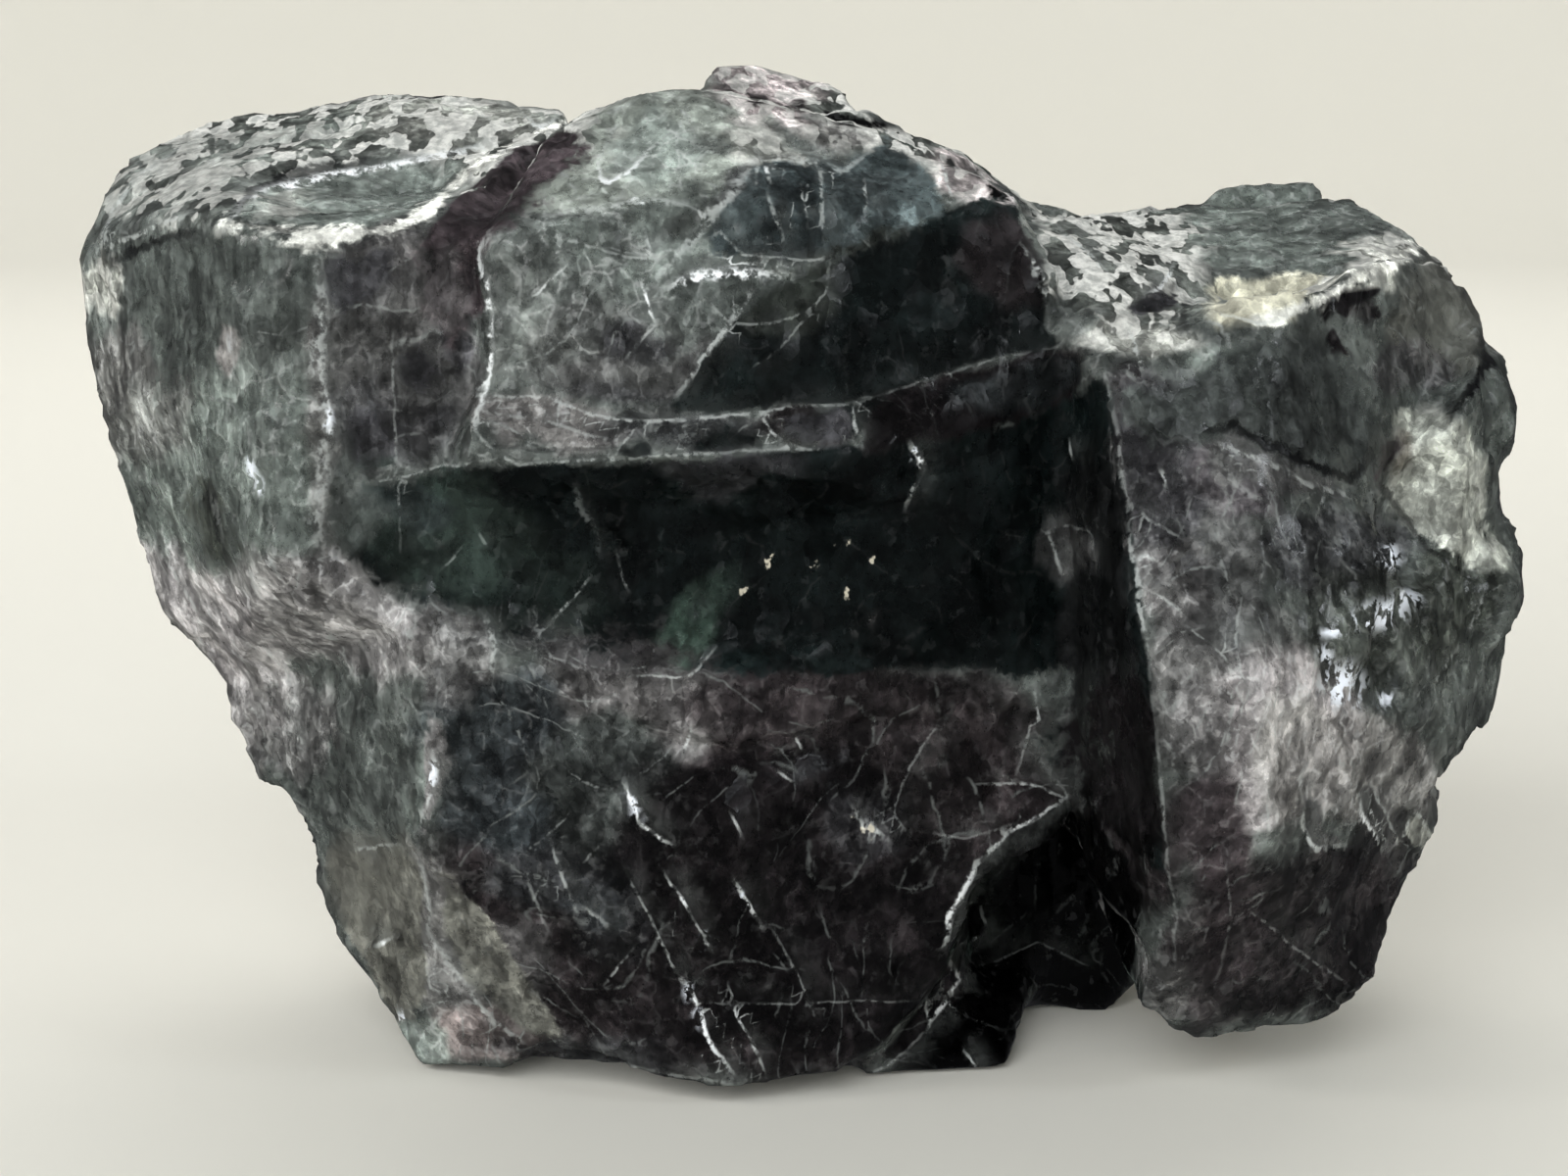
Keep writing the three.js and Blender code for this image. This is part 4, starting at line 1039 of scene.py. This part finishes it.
def store_looks(mesh, points, normals, front, paint, zone_paint):
    """What the material reads at each point: paint, lines, zones, painted glints, pale edges with painted
    highlight, and painted shade in creases.
    """
    places = picture(points)
    wandered = places + wander(points, *LINE_WANDER)
    light, light_power, veil = lines(wandered, LIGHT_LINES)
    dark, dark_power, _ = lines(wandered, DARK_LINES)
    cover, _ = zone_cover(wandered)
    cover = cover * front - COVER_LIMIT * (1.0 - front)
    streaked = streaks(places) * front + BACK_STREAKS * (1.0 - front)
    bend = np.sum((points - neighbour_mean(mesh, points)) * normals, axis=1)
    bend = neighbour_mean(mesh, bend[:, None])[:, 0]
    # Convex edges, to be painted pale: partly pale broken rims, partly painted highlight.
    edge = smoothstep(0.03, 0.14, bend) * (1.0 - 0.6 * paint[:, CRUST])
    # Creases, to be painted dark: painted shade.
    crease_shade = smoothstep(-0.06, -0.2, bend)
    cool, warm = (painted_glints(places, drawn) * front for drawn in (PAINTED_COOL_GLINTS, PAINTED_WARM_GLINTS))
    store(mesh, "tint", *paint.T[:CLEAR + 1])
    store(mesh, "finish", paint[:, MOTTLE], paint[:, WISPS], paint[:, CRUST], paint[:, ROUGH])
    store(mesh, "marks", light, light_power * front, dark, dark_power * front)
    store(mesh, "under", *zone_paint.T[:CLEAR + 1])
    store(mesh, "cover", cover, streaked, veil * front)
    store(mesh, "glow", cool, warm, edge, crease_shade)


def make_stone():
    stone = fine_copy(NODE)
    mesh = stone.data
    points = read_points(mesh)
    normals = unit(neighbour_mean(mesh, read_normals(mesh)))
    points = wear_foot(mesh, points)
    facing = np.sum(normals * unit(EYE - points), axis=1)
    front = smoothstep(*FRONT_EDGE, facing + 0.05 * fractal(points, size=6.0, seed=27))
    paint, zone_paint = paint_stone(points, normals, front)
    points = keep_in_box(relief(points, normals, paint), cad_box)
    write_points(mesh, points)
    store_looks(mesh, points, normals, front, paint, zone_paint)
    mesh.polygons.foreach_set("use_smooth", np.ones(len(mesh.polygons), dtype=bool))
    return stone


# The material. Its scales are in cells per metre, and its colours are linear light.
BEND_SCALE, BEND = 420.0, 0.0015
CLOUD_SCALE, GRIT_SCALE, FIBRE_SCALE = 260.0, 1100.0, 1500.0
BLOCK_SCALE, GRAIN_SCALE, THREAD_SCALE, ISLAND_SCALE = 560.0, 1350.0, 440.0, 400.0
REGION_SCALE, SPACING_SCALE, TRACES_PER_METRE = 150.0, 45.0, 200.0
HALF = 0.5

# Brightness in stops: its mean, and how much brighter each pattern's high end is than its low end.
MEAN_STOPS = -0.1
CLOUD_STOPS, PLATE_STOPS, GRIT_STOPS, BLOCK_STOPS, FIBRE_STOPS = 8.0, 0.8, 6.0, 1.8, 5.0

# Heights for the bump, in metres.
GRIT_HEIGHT, ISLAND_HEIGHT, CRACK_HEIGHT = 0.00011, 0.00016, -0.00020

THREAD = (0.62, 0.62, 0.62, 1.0)
# The colour of the painted glint flecks.
GLINT_FLECK = (0.48, 0.49, 0.50, 1.0)
TRACE = (0.42, 0.45, 0.44, 1.0)
POWDER_DARK, POWDER_LIGHT = (0.42, 0.43, 0.41, 1.0), (0.80, 0.80, 0.76, 1.0)
# The pale of convex edges: partly broken rims, partly painted highlight.
PALE_EDGE_AND_HIGHLIGHT = (0.42, 0.43, 0.42, 1.0)
# The colour of the painted shade in creases.
CREASE_SHADE = (0.008, 0.008, 0.009, 1.0)
VEIL = (0.26, 0.28, 0.27, 1.0)
# The light lines' colours, dull to bright; the bright end is painted highlight.
GLEAM_DULL, GLEAM_BRIGHT = (0.50, 0.53, 0.52, 1.0), (0.92, 0.95, 0.97, 1.0)
# The colour of the dark lines: cracks and painted shadow lines.
CRACK_AND_SHADOW = (0.004, 0.004, 0.005, 1.0)
# The colours of the painted glints.
COOL_GLINT, WARM_GLINT = (0.86, 0.91, 1.0, 1.0), (0.74, 0.68, 0.54, 1.0)

FLUORITE_IOR = 1.434
DEPTH_COLOUR, DEPTH_DENSITY = (0.42, 0.52, 0.48, 1.0), 300.0


class Nodes:
    """Short ways to add linked nodes to a material."""

    def __init__(self, material):
        self.tree = material.node_tree
        self.tree.nodes.clear()

    def add(self, kind, inputs=None, **settings):
        node = self.tree.nodes.new(kind)
        for name, value in settings.items():
            setattr(node, name, value)
        for name, value in (inputs or {}).items():
            self.feed(node.inputs[name], value)
        return node

    def feed(self, socket, value):
        if isinstance(value, bpy.types.NodeSocket):
            self.tree.links.new(value, socket)
        else:
            socket.default_value = value

    def math(self, operation, *values, clamp=False):
        inputs = dict(enumerate(values))
        return self.add("ShaderNodeMath", inputs, operation=operation, use_clamp=clamp).outputs[0]

    def times(self, first, *others):
        for other in others:
            first = self.math("MULTIPLY", first, other)
        return first

    def most(self, first, *others):
        for other in others:
            first = self.math("MAXIMUM", first, other)
        return first

    def around(self, base, gain, value, middle=HALF):
        """The base, raised or lowered by how far a value lies from its middle."""
        return self.math("MULTIPLY_ADD", self.math("SUBTRACT", value, middle), gain, base)

    def vector(self, operation, *values):
        node = self.add("ShaderNodeVectorMath", dict(enumerate(values)), operation=operation)
        return node.outputs["Value" if operation == "DOT_PRODUCT" else "Vector"]

    def ramp(self, value, low, high, to_low=0.0, to_high=1.0):
        inputs = {"Value": value, "From Min": low, "From Max": high, "To Min": to_low, "To Max": to_high}
        return self.add("ShaderNodeMapRange", inputs, interpolation_type="SMOOTHSTEP").outputs[0]

    def mix(self, share, first, second, blend="MIX"):
        node = self.add("ShaderNodeMix", data_type="RGBA", blend_type=blend, clamp_factor=True)
        self.feed(node.inputs[0], share)
        self.feed(node.inputs[6], first)
        self.feed(node.inputs[7], second)
        return node.outputs[2]

    def parts(self, colour):
        return self.add("ShaderNodeSeparateColor", {"Color": colour}).outputs

    def stored(self, name):
        """A stored attribute's colour, and its fourth number."""
        outputs = self.add("ShaderNodeAttribute", attribute_name=name).outputs
        return outputs["Color"], outputs["Alpha"]

    def scaled(self, place, scale, turn=(0.0, 0.0, 0.0)):
        inputs = {"Vector": place, "Scale": scale, "Rotation": turn}
        return self.add("ShaderNodeMapping", inputs).outputs[0]

    def noise(self, place, scale, detail, rough=0.6):
        inputs = {"Vector": place, "Scale": scale, "Detail": detail, "Roughness": rough}
        return self.add("ShaderNodeTexNoise", inputs).outputs

    def clouds(self, place, scale, detail, rough=0.6):
        return self.noise(place, scale, detail, rough)["Fac"]

    def cells(self, place, scale, feature="F1"):
        return self.add("ShaderNodeTexVoronoi", {"Vector": place, "Scale": scale}, feature=feature).outputs


def patterns(n):
    """The noises and cells that all the looks are made of."""
    place = n.add("ShaderNodeTexCoord").outputs["Object"]
    bend = n.vector("MULTIPLY_ADD", n.noise(place, BEND_SCALE, 2.0)["Color"], (BEND, BEND, BEND), place)
    leaning = n.cells(n.scaled(bend, (1.0, 1.0, 0.6), tuple(CLEAVAGE_TURN)), BLOCK_SCALE)["Color"]
    return SimpleNamespace(
        place=place,
        bend=bend,
        broad=n.clouds(bend, CLOUD_SCALE, 6.0, 0.66),
        fine=n.clouds(n.scaled(place, (1.0, 1.0, 0.8)), GRIT_SCALE, 3.0, 0.64),
        fibres=n.clouds(n.scaled(place, (1.0, 1.0, 0.07), (0.0, 0.12, 0.0)), FIBRE_SCALE, 2.0),
        leaning=leaning,
        blocks=n.parts(leaning),
        grains=n.parts(n.cells(n.scaled(bend, (1.0, 1.0, 0.7)), GRAIN_SCALE)["Color"]),
    )


def brightness(n, p, mottle, streaked):
    """Small cleaved blocks, upright fibres and grit make the brightness uneven."""
    plates = n.math("ADD", n.ramp(p.broad, 0.535, 0.55), n.ramp(p.broad, 0.45, 0.465))
    stops = n.around(MEAN_STOPS, CLOUD_STOPS, p.broad)
    stops = n.around(stops, PLATE_STOPS, plates, middle=1.0)
    stops = n.around(stops, GRIT_STOPS, p.fine)
    stops = n.around(stops, BLOCK_STOPS, p.blocks[0])
    stops = n.around(stops, BLOCK_STOPS, p.grains[0])
    fibres = n.times(n.math("SUBTRACT", p.fibres, HALF), streaked)
    stops = n.math("MULTIPLY_ADD", fibres, FIBRE_STOPS, n.times(stops, mottle))
    gain = n.math("POWER", 2.0, stops)
    return n.add("ShaderNodeCombineXYZ", {0: gain, 1: gain, 2: gain}).outputs[0]


def white_threads(n, p, wisps):
    """Broken walls between bent cells."""
    walls = n.cells(p.bend, THREAD_SCALE, "DISTANCE_TO_EDGE")["Distance"]
    kept = n.math("ADD", n.times(p.broad, 0.6), n.times(p.fine, 0.4))
    return n.times(n.ramp(walls, 0.08, 0.0), n.ramp(kept, 0.47, 0.56), wisps)


def cleavage_traces(n, p, crust):
    """Fine parallel traces of the cleavage planes within the crystal, seen in patches."""
    spacing = n.times(n.clouds(p.place, SPACING_SCALE, 1.0), 9.0)
    regions = n.parts(n.noise(p.place, REGION_SCALE, 1.0, 0.5)["Color"])
    patches = [n.ramp(region, 0.52, 0.62) for region in regions]
    patches.append(n.ramp(regions[0], 0.48, 0.38))
    traces = 0.0
    for axis, patch in zip(CLEAVAGES, patches):
        along = n.vector("DOT_PRODUCT", p.bend, tuple(axis))
        level = n.math("MULTIPLY_ADD", along, TRACES_PER_METRE, spacing)
        off = n.math("ABSOLUTE", n.math("SUBTRACT", n.math("FRACT", level), HALF))
        traces = n.most(traces, n.times(n.ramp(off, 0.045, 0.0), patch))
    return n.times(traces, n.ramp(crust, 0.5, 0.0), n.ramp(p.fine, 0.40, 0.56))


def leaning_faces(n, p, island, crack_and_shadow):
    """The surface's normal: grit, islands and cracks, and small blocks whose faces lean their own way."""
    height = n.times(p.fine, GRIT_HEIGHT)
    height = n.math("MULTIPLY_ADD", island, ISLAND_HEIGHT, height)
    height = n.math("MULTIPLY_ADD", crack_and_shadow, CRACK_HEIGHT, height)
    bump = n.add("ShaderNodeBump", {"Height": height, "Strength": 0.7, "Distance": 1.0})
    lean = n.vector("SUBTRACT", p.leaning, (HALF, HALF, HALF))
    lean = n.vector("MULTIPLY_ADD", lean, (0.45, 0.45, 0.45), bump.outputs[0])
    return n.vector("NORMALIZE", lean)


def fluorite_material():
    """Dark clear crystal with cloudy specks, white threads, an etched skin, drawn lines and painted glints.
    """
    material = bpy.data.materials.new("fluorite")
    material.use_nodes = True
    n = Nodes(material)
    p = patterns(n)
    tint, clear = n.stored("tint")
    zone_tint, zone_clear = n.stored("under")
    finish, rough = n.stored("finish")
    marks, dark_power = n.stored("marks")
    glow, crease_shade = n.stored("glow")
    mottle, wisps, crust = n.parts(finish)
    light, light_power, dark = n.parts(marks)
    cool, warm, edge = n.parts(glow)
    cover, streaked, veil = n.parts(n.stored("cover")[0])

    # Some parts have clear-cut, slightly frayed borders.
    in_zone = n.ramp(n.around(n.around(cover, 3.0, p.fine), 9.0, p.broad), -1.0, 1.0)
    clear = n.ramp(in_zone, 0.0, 1.0, clear, zone_clear)
    wisps = n.times(wisps, n.math("SUBTRACT", 1.0, in_zone))
    crust = n.times(crust, n.math("SUBTRACT", 1.0, in_zone))
    tint = n.mix(in_zone, tint, zone_tint)

    # Threads, painted glints as flecks on broken faces, traces, and white islands of the etched skin.
    thread = white_threads(n, p, wisps)
    glint_fleck = n.times(
        n.ramp(p.grains[1], 0.90, 0.93), n.ramp(p.fine, 0.46, 0.56), n.ramp(wisps, 0.0, 1.0, 0.12, 0.9),
    )
    traces = n.times(cleavage_traces(n, p, crust), n.ramp(in_zone, 0.0, 1.0, 0.7, 0.15))
    island = n.ramp(n.clouds(n.scaled(p.place, (1.3, 0.6, 1.1)), ISLAND_SCALE, 2.0, 0.5), 0.470, 0.495)
    island = n.times(island, crust)
    powder = n.mix(n.ramp(p.fine, 0.35, 0.65), POWDER_DARK, POWDER_LIGHT)

    # Convex edges are painted pale: partly pale broken rims, partly painted highlight. Drawn lines wobble.
    # The light ones are broken and have a veil on one side.
    pale_edge_and_highlight = n.times(edge, n.ramp(p.fine, 0.45, 0.6, 0.1, 1.0), n.ramp(in_zone, 0.0, 1.0, 1.0, 0.15), 0.30)
    wobble = n.times(n.math("SUBTRACT", p.fine, HALF), 4.5)
    light, dark = (n.math("ABSOLUTE", n.math("ADD", line, wobble)) for line in (light, dark))
    broken = n.times(light_power, n.ramp(p.fine, 0.40, 0.55, 0.12, 1.0))
    core = n.times(n.ramp(light, 1.5, 0.3), broken)
    veil = n.times(veil, n.ramp(p.broad, 0.40, 0.60, 0.08, 0.60))
    # Strong light lines are painted brighter: painted highlight.
    gleam = n.mix(n.ramp(light_power, 0.65, 1.0), GLEAM_DULL, GLEAM_BRIGHT)
    # Dark lines, partly cracks and partly painted shadow lines.
    crack_and_shadow = n.times(n.ramp(dark, 1.8, 0.4), dark_power)

    # Painted glints, where faces of cleavage would catch the light.
    glint_islands = n.times(n.ramp(p.fine, 0.45, 0.50), n.ramp(p.grains[2], 0.20, 0.30))
    cool_glint = n.times(cool, glint_islands)
    warm_glint = n.times(n.ramp(n.around(warm, 4.0, p.fine), 0.80, 1.15), n.ramp(warm, 0.1, 0.5, 0.0, 0.75))

    colour = n.mix(1.0, tint, brightness(n, p, mottle, streaked), "MULTIPLY")
    for share, paint in (
        (n.times(thread, 0.85), THREAD),
        (n.times(glint_fleck, 0.55), GLINT_FLECK),
        (traces, TRACE),
        (n.times(island, 0.9), powder),
        (pale_edge_and_highlight, PALE_EDGE_AND_HIGHLIGHT),
        (n.times(crease_shade, 0.35), CREASE_SHADE),
        (veil, VEIL),
        (core, gleam),
        (crack_and_shadow, CRACK_AND_SHADOW),
        (cool_glint, COOL_GLINT),
        (warm_glint, WARM_GLINT),
    ):
        colour = n.mix(share, colour, paint)

    # The white parts and the drawn lines let less light in.
    covered = n.most(island, core, thread, cool_glint, warm_glint, n.times(glint_fleck, 0.6))
    see_through = n.times(clear, n.math("SUBTRACT", 1.0, covered, clamp=True))
    roughness = n.around(n.around(rough, 0.6, p.fine), 0.2, p.blocks[1])
    shader = n.add("ShaderNodeBsdfPrincipled", {
        "Base Color": colour,
        "Roughness": n.most(roughness, n.times(island, 0.8), 0.08),
        "IOR": FLUORITE_IOR,
        "Transmission Weight": see_through,
        "Normal": leaning_faces(n, p, island, crack_and_shadow),
    })
    depth = n.add("ShaderNodeVolumeAbsorption", {"Color": DEPTH_COLOUR, "Density": DEPTH_DENSITY})
    n.add("ShaderNodeOutputMaterial", {"Surface": shader.outputs[0], "Volume": depth.outputs[0]})
    return material


# The studio, in metres. A softbox: name, place, aim, size, power, colour, and whether the stone mirrors it.
FLOOR_RADIUS, FLOOR_BEND, WALL_HEIGHT, FLOOR_SIDES = 1.1, 0.4, 0.9, 72
PAPER = (0.78, 0.765, 0.70, 1.0)
SKY, SKY_STRENGTH = (0.93, 0.95, 1.0, 1.0), 0.07
SOFTBOXES = [
    ("fill", (-0.30, -0.80, 0.50), (0.0, 0.0, 0.04), (1.0, 0.8), 10.8, (0.965, 0.985, 1.0), False),
    ("top", (0.0, 0.34, 0.60), (0.0, 0.0, 0.04), (0.8, 0.5), 2.6, (1.0, 0.99, 0.97), False),
    ("wall", (0.0, 0.40, 0.62), (0.0, 1.1, 0.25), (1.2, 0.2), 2.7, (1.0, 0.99, 0.96), True),
    ("left", (-0.60, -0.25, 0.45), (0.0, 0.0, 0.04), (0.16, 0.16), 0.8, (1.0, 0.98, 0.95), True),
    ("right", (0.60, -0.30, 0.50), (0.0, 0.0, 0.05), (0.16, 0.16), 0.7, (0.90, 0.95, 1.0), True),
]


def make_floor():
    """A round pale sweep: a floor that curves up into a wall on every side."""
    sides, inner = FLOOR_SIDES, FLOOR_RADIUS - FLOOR_BEND
    angles = np.linspace(0, math.pi / 2, 12)
    profile = [(inner + FLOOR_BEND * math.sin(a), FLOOR_BEND - FLOOR_BEND * math.cos(a)) for a in angles]
    profile.append((FLOOR_RADIUS, WALL_HEIGHT))
    turns = np.linspace(0.0, 2 * math.pi, sides, endpoint=False)
    corners = [(r * math.cos(a), r * math.sin(a), z) for r, z in profile for a in turns]
    faces = [tuple(range(sides))]
    for ring in range(len(profile) - 1):
        for k in range(sides):
            after = (k + 1) % sides
            low, high = ring * sides, (ring + 1) * sides
            faces.append((low + k, high + k, high + after, low + after))
    mesh = bpy.data.meshes.new("floor")
    mesh.from_pydata(corners, [], faces)
    mesh.polygons.foreach_set("use_smooth", np.ones(len(mesh.polygons), dtype=bool))
    floor = bpy.data.objects.new("floor", mesh)
    bpy.context.collection.objects.link(floor)
    # As with black cards round the stone, the pale sweep lights it but isn't mirrored in it.
    floor.visible_glossy = False
    material = bpy.data.materials.new("floor_paper")
    material.use_nodes = True
    shader = material.node_tree.nodes["Principled BSDF"]
    shader.inputs["Base Color"].default_value = PAPER
    shader.inputs["Roughness"].default_value = 0.9
    mesh.materials.append(material)
    return floor


def softbox(name, place, aim, size, power, colour, mirrored):
    """An area light. One that isn't mirrored lights the stone as a cross-polarised lamp does."""
    data = bpy.data.lights.new(name, "AREA")
    data.shape = "RECTANGLE"
    data.size, data.size_y = size
    data.energy = power
    data.color = colour
    light = bpy.data.objects.new(name, data)
    light.location = place
    light.rotation_euler = (Vector(aim) - Vector(place)).to_track_quat("-Z", "Y").to_euler()
    light.visible_glossy = mirrored
    light.visible_transmission = mirrored
    bpy.context.collection.objects.link(light)


def make_world():
    world = bpy.data.worlds.new("studio")
    bpy.context.scene.world = world
    world.use_nodes = True
    background = world.node_tree.nodes["Background"]
    background.inputs["Color"].default_value = SKY
    background.inputs["Strength"].default_value = SKY_STRENGTH


def make_camera():
    data = bpy.data.cameras.new("camera")
    data.sensor_width = SENSOR_WIDTH
    data.lens = FOCAL_PX / FRAME_PX[0] * SENSOR_WIDTH
    data.clip_start = 0.01
    data.clip_end = 20.0
    camera = bpy.data.objects.new("camera", data)
    camera.location = Vector(EYE) * MM
    camera.rotation_euler = Vector(AHEAD).to_track_quat("-Z", "Y").to_euler()
    bpy.context.collection.objects.link(camera)
    bpy.context.scene.camera = camera


make_camera()
stone = make_stone()
stone.data.materials.clear()
stone.data.materials.append(fluorite_material())
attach(stone, "root")
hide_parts(NODE)

make_floor()
make_world()
for row in SOFTBOXES:
    softbox(*row)

scene = bpy.context.scene
scene.view_settings.view_transform = "Standard"
scene.cycles.use_denoising = True
scene.cycles.adaptive_threshold = 0.2
scene.cycles.max_bounces = 4
scene.cycles.diffuse_bounces = 2
scene.cycles.glossy_bounces = 1
scene.cycles.transmission_bounces = 3
